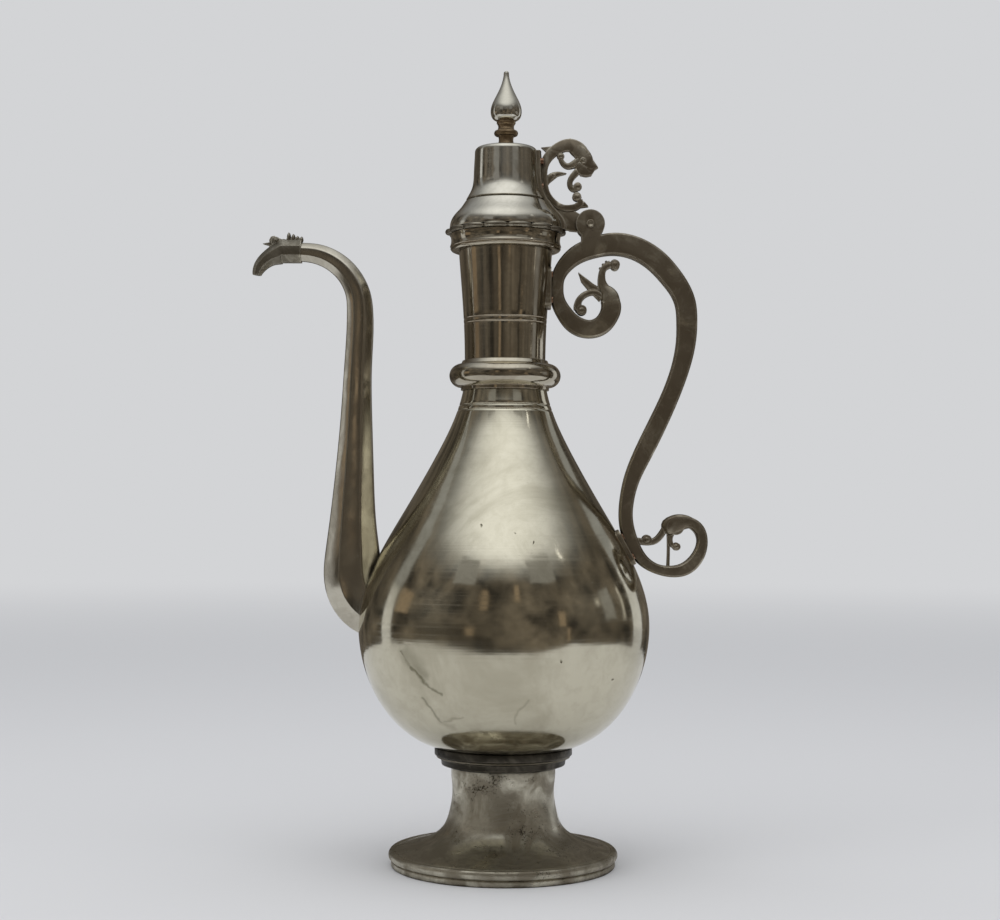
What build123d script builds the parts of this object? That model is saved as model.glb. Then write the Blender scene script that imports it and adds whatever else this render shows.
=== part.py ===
from build123d import *
import os
from math import atan2, cos, hypot, pi, radians, sin

# The ewer stands on its foot at Z = 0 with its axis on Z. The spout points to -X and the handle to +X.
# All sizes are in millimetres.

# Metal and fits
sheet = 1.2
foot_sheet = 1.5
seat_gap = 0.3
pin_clearance = 0.05
rivet_radius = 1.0
rivet_head_radius = 2.0
rivet_head_height = 0.8
rivet_head_seat = 1.2
rivet_head_gap = 0.3

# Foot
foot_height = 72.9
foot_radius = 71.6
rim_height = 9.8
rim_width = 6.5
rim_ledge = 2.4
rim_groove_height = 4.2
rim_groove_depth = 1.6
stem_radius = 32.6
stem_waist_radius = 31.8
collar_radius = 43.1
collar_step_radius = 39.2
collar_band = 5.2
collar_height = 15.0

# Pear-shaped body
base_flat_radius = 34.0
heel_radius = 59.6
heel_rise = 9.3
heel_angle = 35.8
hip_radius = 76.4
hip_rise = 27.0
hip_angle = 56.1
belly_radius = 91.2
belly_rise = 76.5
shoulder_radius = 65.2
shoulder_rise = 144.0
shoulder_angle = 30.3
flank_radius = 41.2
flank_drop = 45.2
flank_angle = 27.7
body_height = 231.5
throat_radius = 25.4

# Neck and its mouldings
neck_height = 91.0
neck_waist_radius = 25.8
neck_waist_rise = 28.0
mouth_radius = 30.2
mouth_ring_radius = 35.2
mouth_ring_height = 10.2
mouth_ring_waist = 0.8
neck_ring_radius = 35.0
neck_ring_height = 14.0
fillet_ring_radius = 27.8
fillet_ring_height = 2.4

# Lid
lobe_count = 14
lobe_start_angle = 2.0
lobe_plate_radius = 38.2
lobe_plate_thickness = 3.0
lid_flare_radius = 35.4
lid_step_radius = 25.6
lid_step_rise = 17.8
lid_drum_radius = 20.0
lid_height = 52.3
lid_corner_radius = 3.0
bezel_radius = 27.0
bezel_depth = 6.0

# Finial
spindle_radius = 2.2
finial_base_radius = 5.4
finial_waist_radius = 4.6
finial_base_height = 7.7
finial_disc_radius = 7.6
finial_disc_height = 3.2
spool_radius = 6.0
spool_waist_radius = 5.0
spool_height = 6.3
drop_radius = 9.8
drop_height = 31.8
drop_socket = 5.0
rove_radius = 5.0
rove_thickness = 1.4

# Spout
spout_root_width = 34.0
spout_riser_width = 29.6
spout_bend_width = 16.2
spout_end_width = 11.7
spout_riser_reach = 4.2
spout_riser_bottom = 136.5
spout_riser_top = 275.2
spout_lean = 3.6
spout_bend_radius = 36.0
spout_bore_wall = 1.1
spout_insert = 9.0

# Dragon head on the spout
head_width = 14.0
head_length = 12.0
head_offset = 0.4
lip_wall = 0.9
crest_thickness = 3.2
brow_thickness = 5.0

# Handle casting
handle_drop = 204.0
grip_drop = 60.0
handle_seat_reach = 20.0
handle_depth = 10.0
handle_chamfer = 1.0
tendril_depth = 6.0
hinge_rise = 7.0
handle_reach = 25.2
handle_bite = 0.6
ear_radius = 9.1
ear_gap = 4.4
pin_radius = 1.8
pin_head_radius = 2.7
pin_head_height = 1.0

# Plates that carry the handle
plate_thickness = 1.6
plate_width = 20.0
neck_plate_length = 26.0
body_plate_length = 24.0
plate_rivet_edge = 5.0
neck_bulge = 1.6
belly_bulge = 0.9

# Strap and thumb-piece on the lid
strap_thickness = 2.6
strap_width = 14.0
strap_top_gap = 2.5
strap_rivet_rise = 16.0
drum_bulge = 1.1
tongue_thickness = 4.0
knuckle_radius = 6.2
thumb_depth = 5.0

# Heights and places that follow from the sizes above
belly_height = foot_height + belly_rise
body_top = foot_height + body_height
mouth_height = body_top + neck_height
plate_bottom = mouth_height + seat_gap
lid_bottom = plate_bottom + lobe_plate_thickness
lid_top = lid_bottom + lid_height
hinge_z = mouth_height + hinge_rise
neck_plate_z = hinge_z - 40.5
rim_inner = foot_radius - rim_width
plate_rivets_across = handle_depth + 2 * (rivet_head_radius + rivet_head_gap)
strap_rivets_across = thumb_depth + 2 * (rivet_head_radius + rivet_head_gap)
neck_rivets_along = neck_plate_length - 2 * plate_rivet_edge
body_rivets_along = body_plate_length - 2 * plate_rivet_edge

os.makedirs("parts", exist_ok=True)


def finish(piece, name):
    """Labels a finished piece and writes it."""
    piece.part.label = name
    export_step(piece.part, f"parts/{name}.step")


def body_line(inset):
    """Outer line of the pear from its flat base to its throat, shrunk by inset."""
    stations = [
        (base_flat_radius, foot_height, 0),
        (heel_radius, foot_height + heel_rise, heel_angle),
        (hip_radius, foot_height + hip_rise, hip_angle),
        (belly_radius, belly_height, 90),
        (shoulder_radius, foot_height + shoulder_rise, 90 + shoulder_angle),
        (flank_radius, body_top - flank_drop, 90 + flank_angle),
    ]
    slopes = [(cos(radians(angle)), sin(radians(angle))) for x, z, angle in stations]
    points = [(x - inset * up, z + inset * out) for (x, z, angle), (out, up) in zip(stations, slopes)]
    return Spline(*points, (throat_radius - inset, body_top), tangents=[*slopes, (-0.08, 1)])


def neck_line(inset):
    """Outer line of the neck from its joint with the body to the mouth, shrunk by inset."""
    return Spline(
        (throat_radius - inset, body_top),
        (neck_waist_radius - inset, body_top + neck_waist_rise),
        (mouth_radius - inset, mouth_height),
    )


def lid_line(inset):
    """Outer line of the lid from its flare to the flat top, shrunk by inset."""
    step_z = lid_bottom + lid_step_rise
    flare = Spline(
        (lid_flare_radius - inset, lid_bottom),
        (lid_flare_radius - 1.6 - inset, lid_bottom + 0.4 * lid_step_rise),
        (lid_step_radius + 2.9 - inset, lid_bottom + 0.76 * lid_step_rise),
        (lid_step_radius - inset, step_z),
    )
    step = Line(flare @ 1, (lid_step_radius - 1.1 - inset, step_z + 0.9))
    drum = Spline(
        step @ 1,
        (lid_drum_radius + 1.5 - inset, lid_bottom + 0.5 * lid_height),
        (lid_drum_radius + 0.3 - inset, lid_bottom + 0.7 * lid_height),
        (lid_drum_radius - 0.3 - inset, lid_top - lid_corner_radius),
    )
    corner = ThreePointArc(
        drum @ 1,
        (
            lid_drum_radius - 0.3 - inset - lid_corner_radius * (1 - cos(pi / 4)),
            lid_top - lid_corner_radius * (1 - sin(pi / 4)) - inset * sin(pi / 4),
        ),
        (lid_drum_radius - 0.3 - lid_corner_radius, lid_top - inset),
    )
    return Line(corner @ 1, (0, lid_top - inset))


def foot_line(inset):
    """Outer line of the foot from its seat down to the edge of its flange, shrunk by inset."""
    stations = [
        (stem_waist_radius, 0.66 * foot_height, 0),
        (stem_waist_radius + 1.8, 0.46 * foot_height, 10),
        (stem_waist_radius + 5.0, 0.34 * foot_height, 28),
        (0.5 * (stem_waist_radius + rim_inner) - 2.0, 0.225 * foot_height, 60),
        (rim_inner + rim_ledge, rim_height, 90),
    ]
    points = [(x - inset * cos(radians(lean)), z - inset * sin(radians(lean))) for x, z, lean in stations]
    waist = Line((stem_radius - inset, foot_height), (stem_radius - inset, foot_height - collar_height))
    return Spline(waist @ 1, *points, tangents=[waist % 1, (1, -0.2)])


def radius_at(line, height):
    """Radius of a rising outline at one height."""
    low, high = 0.0, 1.0
    for step in range(40):
        middle = (low + high) / 2
        if (line @ middle).Y < height:
            low = middle
        else:
            high = middle
    return (line @ low).X


def strip_edges(stations):
    """Two smooth edges of a flat bar that follows (x, z, width) stations."""
    sides = ([], [])
    for i, (x, z, width) in enumerate(stations):
        before = stations[max(i - 1, 0)]
        after = stations[min(i + 1, len(stations) - 1)]
        run = hypot(after[0] - before[0], after[1] - before[1])
        across = ((before[1] - after[1]) / run, (after[0] - before[0]) / run)
        for side, points in zip((0.5, -0.5), sides):
            points.append((x + side * width * across[0], z + side * width * across[1]))
    return sides


def draw_strip(stations):
    """Closed outline of a flat bar, square at both ends."""
    left, right = strip_edges(stations)
    Spline(*left)
    Spline(*right)
    Line(left[0], right[0])
    Line(left[-1], right[-1])


def flat_bar(stations, depth):
    """Flat bar of one depth that follows its stations, centred on the plane of the handle."""
    with BuildPart() as bar:
        with BuildSketch(Plane.XZ.offset(-depth / 2)):
            with BuildLine():
                draw_strip(stations)
            make_face()
        extrude(amount=depth)
    return bar.part


def flat_boss(place, radius, depth):
    """Round boss of one depth, centred on the plane of the handle."""
    with BuildPart() as boss:
        with BuildSketch(Plane.XZ.offset(-depth / 2)):
            with Locations(place):
                Circle(radius)
        extrude(amount=depth)
    return boss.part


def flat_leaf(points, depth):
    """Flat cast leaf with straight sides, centred on the plane of the handle."""
    with BuildPart() as leaf:
        with BuildSketch(Plane.XZ.offset(-depth / 2)):
            with BuildLine():
                Polyline(*points, close=True)
            make_face()
        extrude(amount=depth)
    return leaf.part


def rivets_on(plane, spacing_x, spacing_y, grip):
    """Four rivets, a head over the plane and one behind the grip, long enough to trim to their seats."""
    with BuildPart() as group:
        with BuildSketch(plane.offset(-rivet_head_seat), plane.offset(-grip)):
            with GridLocations(spacing_x, spacing_y, 2, 2):
                Circle(rivet_head_radius)
        extrude(amount=rivet_head_height + rivet_head_seat)
        with BuildSketch(plane):
            with GridLocations(spacing_x, spacing_y, 2, 2):
                Circle(rivet_radius)
        extrude(amount=-grip)
    return group.part


def shanks_on(plane, spacing_x, spacing_y, grip):
    """The four shanks alone, which cut the rivet holes."""
    with BuildPart() as group:
        with BuildSketch(plane.offset(-2 * grip)):
            with GridLocations(spacing_x, spacing_y, 2, 2):
                Circle(rivet_radius)
        extrude(amount=3 * grip)
    return group.part


def octagon_at(x, z, width, turn):
    """Octagon across a spout at one station, its flats on top, below and at both sides."""
    plane = Plane(origin=(x, 0, z), x_dir=(0, 1, 0), z_dir=(cos(turn), 0, sin(turn)))
    with BuildSketch(plane) as section:
        RegularPolygon(radius=width / 2, side_count=8, major_radius=False, rotation=22.5)
    return section.sketch


def octagon_tube(stations, inset):
    """Tapering octagonal tube through (x, z, width, direction) stations, shrunk by inset."""
    return loft([octagon_at(x, z, width - 2 * inset, turn) for x, z, width, turn in stations])


def octagon_run(x, z, width, length):
    """Straight octagonal bar that runs from x towards the spout's tip."""
    return extrude(octagon_at(x, z, width, pi), amount=length)


# Full solids of the turned forms, which the pieces that seat on them are cut to
with BuildPart() as body_form:
    with BuildSketch(Plane.XZ):
        with BuildLine():
            pear = body_line(0)
            Polyline(pear @ 1, (0, body_top), (0, foot_height), pear @ 0)
        make_face()
    revolve(axis=Axis.Z)

with BuildPart() as neck_form:
    with BuildSketch(Plane.XZ):
        with BuildLine():
            taper = neck_line(0)
            Polyline(taper @ 1, (0, mouth_height), (0, body_top), taper @ 0)
        make_face()
    revolve(axis=Axis.Z)

with BuildPart() as lid_form:
    with BuildSketch(Plane.XZ):
        with BuildLine():
            crown = lid_line(0)
            Polyline(crown @ 1, (0, lid_bottom), (lid_flare_radius, lid_bottom))
        make_face()
    revolve(axis=Axis.Z)

with BuildLine() as pear_sketch:
    pear_line = body_line(0)
with BuildLine() as neck_sketch:
    neck_side = neck_line(0)

# Spout stations: a root that turns out of the belly, a tapering riser and a quarter bend
spout_x = -radius_at(pear_line, belly_height) - spout_riser_reach
riser_bottom = foot_height + spout_riser_bottom
riser_top = foot_height + spout_riser_top
spout_stations = [
    (spout_x + 19.5, riser_bottom - 52.0, spout_root_width, radians(170)),
    (spout_x + 8.0, riser_bottom - 46.0, spout_root_width + 1.5, radians(150)),
    (spout_x + 1.2, riser_bottom - 33.5, spout_root_width + 2.0, radians(120)),
    (spout_x, riser_bottom - 18.0, spout_root_width, radians(95)),
]
riser_steps = 4
for i in range(riser_steps + 1):
    share = i / riser_steps
    spout_stations.append(
        (
            spout_x + spout_lean * share,
            riser_bottom + (riser_top - riser_bottom) * share,
            spout_bend_width + (spout_riser_width - spout_bend_width) * (1 - share) ** 2,
            radians(90),
        )
    )
bend_x = spout_x + spout_lean - spout_bend_radius
bend_steps = 6
for i in range(1, bend_steps + 1):
    angle = pi / 2 * i / bend_steps
    spout_stations.append(
        (
            bend_x + spout_bend_radius * cos(angle),
            riser_top + spout_bend_radius * sin(angle),
            spout_bend_width + (spout_end_width - spout_bend_width) * i / bend_steps,
            angle + pi / 2,
        )
    )
spout_end_z = riser_top + spout_bend_radius
spout_end = octagon_run(bend_x, spout_end_z, spout_end_width, spout_insert)
spout_bore = octagon_tube(spout_stations, spout_bore_wall)
head_bore_width = spout_end_width - 2 * spout_bore_wall
spout_end_bore = octagon_run(bend_x, spout_end_z, head_bore_width, spout_insert)

# Handle stations, drawn from the hinge pin
hinge_x = radius_at(neck_side, neck_plate_z) + plate_thickness + handle_reach - handle_bite
seat_z = hinge_z - handle_drop
seat_x = radius_at(pear_line, seat_z) + plate_thickness - handle_bite
seat_lean = seat_x - hinge_x - handle_seat_reach


def from_hinge(x, z):
    """Place of a point of the handle, whose lower half leans to meet the body."""
    share = min(max((z + grip_drop) / (grip_drop - handle_drop), 0), 1)
    return hinge_x + x + seat_lean * share, hinge_z + z


bar_rows = [
    (12.6, -48.0, 11.4),
    (13.4, -52.5, 12.4),
    (11.4, -58.8, 12.3),
    (6.7, -64.1, 11.7),
    (0.1, -66.3, 11.1),
    (-6.5, -65.1, 11.2),
    (-12.2, -61.3, 10.7),
    (-16.6, -55.6, 9.8),
    (-20.1, -48.7, 8.8),
    (-21.0, -40.5, 8.3),
    (-19.9, -32.9, 8.6),
    (-15.5, -25.4, 9.8),
    (-8.6, -19.3, 11.3),
    (0.5, -15.2, 12.4),
    (12.5, -12.5, 13.6),
    (24.5, -13.6, 13.9),
    (34.6, -17.8, 13.9),
    (43.4, -24.4, 13.9),
    (51.0, -32.9, 13.5),
    (56.7, -41.1, 12.9),
    (60.2, -49.9, 12.7),
    (61.2, -60.0, 12.6),
    (60.5, -72.6, 12.1),
    (54.0, -97.8, 11.0),
    (42.8, -123.0, 11.5),
    (30.0, -148.2, 11.2),
    (24.4, -160.8, 9.8),
    (21.1, -173.4, 8.8),
    (20.1, -186.0, 8.6),
    (22.6, -198.6, 8.8),
    (26.6, -207.0, 8.0),
    (32.0, -213.2, 7.0),
    (39.2, -217.2, 6.4),
    (48.1, -218.8, 7.0),
    (56.3, -217.4, 7.8),
    (62.6, -212.6, 7.8),
    (66.6, -205.8, 7.0),
    (67.8, -198.6, 6.4),
    (65.8, -192.3, 6.8),
    (61.0, -188.4, 6.8),
    (55.2, -187.6, 6.0),
]


def placed(rows):
    """Rows drawn from the hinge pin, carried to their place."""
    return [(*from_hinge(x, z), *rest) for x, z, *rest in rows]


# Planes of the two plates that carry the handle
neck_plate_plane = Plane(
    origin=(hinge_x - handle_reach + handle_bite, 0, neck_plate_z), x_dir=(0, 1, 0), z_dir=(1, 0, 0)
)
seat_slope = radius_at(pear_line, seat_z - 5) - radius_at(pear_line, seat_z + 5)
seat_turn = atan2(seat_slope, 10)
seat_point = (
    radius_at(pear_line, seat_z) + plate_thickness * cos(seat_turn),
    0,
    seat_z + plate_thickness * sin(seat_turn),
)
body_plate_plane = Plane(origin=seat_point, x_dir=(0, 1, 0), z_dir=(cos(seat_turn), 0, sin(seat_turn)))
neck_rivet_grip = plate_thickness + sheet + rivet_head_height + neck_bulge
body_rivet_grip = plate_thickness + sheet + rivet_head_height + belly_bulge
neck_shanks = shanks_on(neck_plate_plane, plate_rivets_across, neck_rivets_along, neck_rivet_grip)
body_shanks = shanks_on(body_plate_plane, plate_rivets_across, body_rivets_along, body_rivet_grip)

strap_point = (lid_drum_radius + strap_thickness + 0.2, 0, lid_top - 0.33 * lid_height)
strap_plane = Plane(origin=strap_point, x_dir=(0, 1, 0), z_dir=(1, 0, 0))
strap_rivet_grip = strap_thickness + sheet + rivet_head_height + drum_bulge
strap_shanks = shanks_on(strap_plane, strap_rivets_across, strap_rivet_rise, strap_rivet_grip)

# Body: one raised pear with a flat base, a hole for the spout and an open throat
with BuildPart() as body_shell:
    add(body_form.part)
    with BuildSketch(Plane.XZ):
        with BuildLine():
            inner_pear = body_line(sheet)
            Polyline(
                inner_pear @ 1,
                (throat_radius - sheet, body_top + sheet),
                (0, body_top + sheet),
                (0, foot_height + sheet),
                inner_pear @ 0,
            )
        make_face()
    revolve(axis=Axis.Z, mode=Mode.SUBTRACT)
    add(spout_bore, mode=Mode.SUBTRACT)
    add(body_shanks, mode=Mode.SUBTRACT)
finish(body_shell, "body_shell")

# Neck: a tapering tube, open at both ends
with BuildPart() as neck:
    add(neck_form.part)
    with BuildSketch(Plane.XZ):
        with BuildLine():
            inner_taper = neck_line(sheet)
            Polyline(
                inner_taper @ 1,
                (mouth_radius - sheet, mouth_height + sheet),
                (0, mouth_height + sheet),
                (0, body_top - sheet),
                (throat_radius - sheet, body_top - sheet),
                inner_taper @ 0,
            )
        make_face()
    revolve(axis=Axis.Z, mode=Mode.SUBTRACT)
    add(neck_shanks, mode=Mode.SUBTRACT)
finish(neck, "neck")

# Neck collar: a full round moulding between two fillets, over the joint of neck and body
ring_low = body_top - neck_ring_height / 2 + 2.0
ring_high = ring_low + neck_ring_height
with BuildPart() as neck_collar:
    with BuildSketch(Plane.XZ):
        with BuildLine():
            Polyline(
                (neck_ring_radius - 4.5, ring_low),
                (fillet_ring_radius, ring_low),
                (fillet_ring_radius, ring_low - fillet_ring_height),
                (throat_radius - 2 * sheet, ring_low - fillet_ring_height),
                (throat_radius - 2 * sheet, ring_high + fillet_ring_height),
                (fillet_ring_radius - 1.0, ring_high + fillet_ring_height),
                (fillet_ring_radius, ring_high),
                (neck_ring_radius - 5.5, ring_high),
            )
            ThreePointArc(
                (neck_ring_radius - 5.5, ring_high),
                (neck_ring_radius, ring_low + 0.4 * neck_ring_height),
                (neck_ring_radius - 4.5, ring_low),
            )
        make_face()
    revolve(axis=Axis.Z)
    add(body_form.part, mode=Mode.SUBTRACT)
    add(neck_form.part, mode=Mode.SUBTRACT)
finish(neck_collar, "neck_collar")

# Mouth moulding: a slightly hollow band over a thin lip
with BuildPart() as mouth_ring:
    band_low = mouth_height - mouth_ring_height + 2.6
    with BuildSketch(Plane.XZ):
        with BuildLine():
            Polyline(
                (mouth_ring_radius, band_low),
                (mouth_ring_radius - 0.9, band_low - 0.5),
                (mouth_ring_radius - 0.2, band_low - 1.3),
                (mouth_ring_radius - 1.2, band_low - 2.6),
                (mouth_radius - 2 * sheet, band_low - 2.6),
                (mouth_radius - 2 * sheet, mouth_height),
                (mouth_ring_radius, mouth_height),
            )
            ThreePointArc(
                (mouth_ring_radius, mouth_height),
                (mouth_ring_radius - mouth_ring_waist, (mouth_height + band_low) / 2),
                (mouth_ring_radius, band_low),
            )
        make_face()
    revolve(axis=Axis.Z)
    add(neck_form.part, mode=Mode.SUBTRACT)
finish(mouth_ring, "mouth_ring")

# Foot: a spun pedestal, hollow underneath, that flares into a broad flange
with BuildPart() as foot:
    with BuildSketch(Plane.XZ):
        with BuildLine():
            outer_flare = foot_line(0)
            inner_flare = foot_line(foot_sheet)
            Line((stem_radius, foot_height), (stem_radius - foot_sheet, foot_height))
            Line(outer_flare @ 1, inner_flare @ 1)
        make_face()
    revolve(axis=Axis.Z)
finish(foot, "foot")

# Foot rim: a rolled band over a thinner lower band, with a ledge that the flange lies on
flange_low = rim_height - foot_sheet
with BuildPart() as foot_rim:
    with BuildSketch(Plane.XZ):
        with BuildLine():
            Polyline(
                (foot_radius - 1.5, rim_height),
                (rim_inner + rim_ledge, rim_height),
                (rim_inner + rim_ledge, flange_low),
                (rim_inner, flange_low),
                (rim_inner, 0),
                (foot_radius - rim_groove_depth - 0.4, 0),
                (foot_radius - rim_groove_depth, 0.6),
                (foot_radius - rim_groove_depth, rim_groove_height - 0.8),
                (foot_radius - rim_groove_depth - 0.8, rim_groove_height),
                (foot_radius - 0.9, rim_groove_height + 0.5),
            )
            ThreePointArc(
                (foot_radius - 0.9, rim_groove_height + 0.5),
                (foot_radius, (rim_height + rim_groove_height) / 2),
                (foot_radius - 1.5, rim_height),
            )
        make_face()
    revolve(axis=Axis.Z)
    add(foot.part, mode=Mode.SUBTRACT)
finish(foot_rim, "foot_rim")

# Foot collar: a stepped ring round the top of the stem, let in under the body
collar_low = foot_height - collar_height + 3.6
band_top = foot_height + 1.4
with BuildPart() as foot_collar:
    with BuildSketch(Plane.XZ):
        with BuildLine():
            Polyline(
                (collar_radius - 0.8, band_top),
                (collar_radius, band_top - 0.8),
                (collar_radius, band_top - collar_band),
                (collar_radius - 1.6, band_top - collar_band - 0.8),
                (collar_radius - 1.2, band_top - collar_band - 1.6),
                (collar_step_radius, band_top - collar_band - 2.4),
                (collar_step_radius - 0.5, collar_low + 1.4),
                (stem_radius + 2.0, collar_low),
                (stem_radius - 2 * foot_sheet, collar_low),
                (stem_radius - 2 * foot_sheet, band_top + 3),
                (collar_radius - 0.8, band_top + 3),
                close=True,
            )
        make_face()
    revolve(axis=Axis.Z)
    add(body_form.part, mode=Mode.SUBTRACT)
    with BuildSketch(Plane.XY.offset(collar_low - 1)):
        Circle(stem_radius - foot_sheet / 2)
    extrude(amount=collar_height + 6, mode=Mode.SUBTRACT)
    add(foot.part, mode=Mode.SUBTRACT)
finish(foot_collar, "foot_collar")

# Spout: an octagonal tapering tube, butted on the belly and open into it
with BuildPart() as spout_tube:
    add(octagon_tube(spout_stations, 0))
    add(spout_end)
    add(spout_bore, mode=Mode.SUBTRACT)
    add(spout_end_bore, mode=Mode.SUBTRACT)
    add(body_form.part, mode=Mode.SUBTRACT)
finish(spout_tube, "spout_tube")

# Dragon head: an octagonal socket over the spout's end, and a lip that turns down to pour
head_x = bend_x - 1.2
head_z = spout_end_z + head_offset
socket_end = head_x - head_length
lip_stations = [
    (socket_end, head_z, head_width, pi),
    (socket_end - 6.3, head_z - 2.9, 0.82 * head_width, radians(206)),
    (socket_end - 9.6, head_z - 4.9, 0.71 * head_width, radians(216)),
    (socket_end - 12.5, head_z - 7.5, 0.63 * head_width, radians(228)),
    (socket_end - 15.0, head_z - 11.2, 0.52 * head_width, radians(246)),
    (socket_end - 16.2, head_z - 15.0, 0.38 * head_width, radians(262)),
]
crest = [(head_x - 0.2, 0.0), (head_x + 0.3, 9.6), (head_x - 2.4, 7.6), (head_x - 2.6, 10.0)]
crest += [(head_x - 4.9, 7.4), (head_x - 5.3, 11.2), (head_x - 7.5, 7.2), (head_x - 8.2, 12.2)]
crest += [(head_x - 9.6, 7.6), (head_x - 12.4, 7.3), (head_x - 12.4, 0.0)]
brow = [(0.2, 1.0), (0.2, 7.4), (-2.6, 8.5), (-5.2, 9.8), (-7.2, 9.2), (-8.3, 7.2)]
brow += [(-8.2, 5.6), (-12.4, 4.8), (-8.4, 3.8), (-8.3, 2.4), (-4.0, 1.0)]
with BuildPart() as spout_head:
    add(octagon_run(head_x, head_z, head_width, head_length))
    add(octagon_tube(lip_stations, 0))
    add(flat_leaf([(x, head_z + z) for x, z in crest], crest_thickness))
    add(flat_leaf([(socket_end + x, head_z + z) for x, z in brow], brow_thickness))
    add(octagon_tube(lip_stations, lip_wall), mode=Mode.SUBTRACT)
    add(octagon_run(head_x, head_z, head_bore_width, head_length), mode=Mode.SUBTRACT)
    add(spout_end, mode=Mode.SUBTRACT)
finish(spout_head, "spout_head")

# Handle plates: a flat face for the handle over a back that is curved to the vessel
with BuildPart() as neck_plate:
    with BuildSketch(neck_plate_plane):
        RectangleRounded(plate_width, neck_plate_length, 4)
    extrude(amount=-4)
    add(neck_form.part, mode=Mode.SUBTRACT)
    add(neck_shanks, mode=Mode.SUBTRACT)
finish(neck_plate, "neck_plate")

with BuildPart() as body_plate:
    with BuildSketch(body_plate_plane):
        RectangleRounded(plate_width, body_plate_length, 4)
    extrude(amount=-4)
    add(body_form.part, mode=Mode.SUBTRACT)
    add(body_shanks, mode=Mode.SUBTRACT)
finish(body_plate, "body_plate")

with BuildPart() as neck_plate_rivets:
    add(rivets_on(neck_plate_plane, plate_rivets_across, neck_rivets_along, neck_rivet_grip))
    add(neck.part, mode=Mode.SUBTRACT)
    add(neck_plate.part, mode=Mode.SUBTRACT)
finish(neck_plate_rivets, "neck_plate_rivets")

with BuildPart() as body_plate_rivets:
    add(rivets_on(body_plate_plane, plate_rivets_across, body_rivets_along, body_rivet_grip))
    add(body_shell.part, mode=Mode.SUBTRACT)
    add(body_plate.part, mode=Mode.SUBTRACT)
finish(body_plate_rivets, "body_plate_rivets")

# Handle: one casting, an S-scroll bar with a volute at each end, tendrils and two hinge ears
stem_rows = [(12.6, -50.0, 9.0), (10.2, -43.5, 9.0), (7.6, -37.5, 5.6), (7.2, -32.0, 4.0)]
stem_rows += [(9.0, -27.2, 3.6), (13.0, -24.8, 3.8)]
curl_rows = [(8.6, -46.0, 3.4), (2.5, -42.9, 3.2), (-3.7, -44.6, 3.4), (-7.6, -49.4, 4.2)]
curl_rows.append((-7.6, -54.2, 5.0))
thorn = [(8.5, -44.0), (2.0, -37.6), (-3.6, -33.6), (-7.4, -30.4), (-5.6, -36.4), (-1.6, -41.2)]
thorn.append((6.0, -49.0))
tendril_rows = [(46.5, -188.6, 3.0), (42.3, -195.5, 3.4), (38.6, -199.4, 3.6), (33.6, -200.4, 3.6)]
tendril_rows.append((26.0, -199.6, 4.4))
bud_rows = [(50.0, -192.0, 3.0), (48.0, -198.0, 2.4), (48.8, -202.0, 2.4), (51.6, -203.6, 2.6)]
strut_rows = [(46.6, -190.0, 2.2), (46.6, -203.0, 1.8), (46.2, -216.5, 2.0)]
ear_thickness = (handle_depth - ear_gap) / 2
castings = [
    flat_bar(placed(stem_rows), tendril_depth),
    flat_bar(placed(curl_rows), tendril_depth),
    flat_leaf(placed(thorn), tendril_depth - 1.5),
    flat_bar(placed(tendril_rows), tendril_depth),
    flat_bar(placed(bud_rows), tendril_depth - 1),
    flat_bar(placed(strut_rows), tendril_depth - 2.5),
    flat_boss(from_hinge(15.6, -25.6), 3.1, tendril_depth + 1),
    flat_boss(from_hinge(-5.3, -54.4), 3.2, tendril_depth + 1),
    flat_boss(from_hinge(33.0, -199.0), 3.1, tendril_depth + 1),
    flat_boss(from_hinge(51.2, -190.6), 5.2, handle_depth - 1),
    flat_boss(from_hinge(51.6, -203.2), 2.4, tendril_depth),
]
with BuildPart() as handle:
    add(flat_bar(placed(bar_rows), handle_depth))
    rims = handle.faces().sort_by(Axis.Y)[0].edges() + handle.faces().sort_by(Axis.Y)[-1].edges()
    chamfer(rims, length=handle_chamfer)
    add(castings)
    for side in (-1, 1):
        with BuildSketch(Plane.XZ.offset(side * handle_depth / 2 - (ear_thickness if side > 0 else 0))):
            with Locations((hinge_x, hinge_z)):
                Circle(ear_radius)
            with Locations((hinge_x + 0.5, hinge_z - ear_radius)):
                Rectangle(1.35 * ear_radius, 1.4 * ear_radius)
        extrude(amount=ear_thickness)
    with BuildSketch(Plane.XZ.offset(-handle_depth)):
        with Locations((hinge_x, hinge_z)):
            Circle(pin_radius)
    extrude(amount=2 * handle_depth, mode=Mode.SUBTRACT)
    add(neck_plate.part, mode=Mode.SUBTRACT)
    add(body_plate.part, mode=Mode.SUBTRACT)
    add(body_form.part, mode=Mode.SUBTRACT)
finish(handle, "handle")

# Hinge pin, with a domed head at each end outside the ears
with BuildPart() as hinge_pin:
    with BuildSketch(Plane.XZ.offset(-handle_depth / 2)):
        with Locations((hinge_x, hinge_z)):
            Circle(pin_radius)
    extrude(amount=handle_depth)
    for side in (-1, 1):
        with BuildSketch(Plane.XZ.offset(side * handle_depth / 2 - (0 if side > 0 else pin_head_height))):
            with Locations((hinge_x, hinge_z)):
                Circle(pin_head_radius)
        extrude(amount=pin_head_height)
finish(hinge_pin, "hinge_pin")

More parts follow.
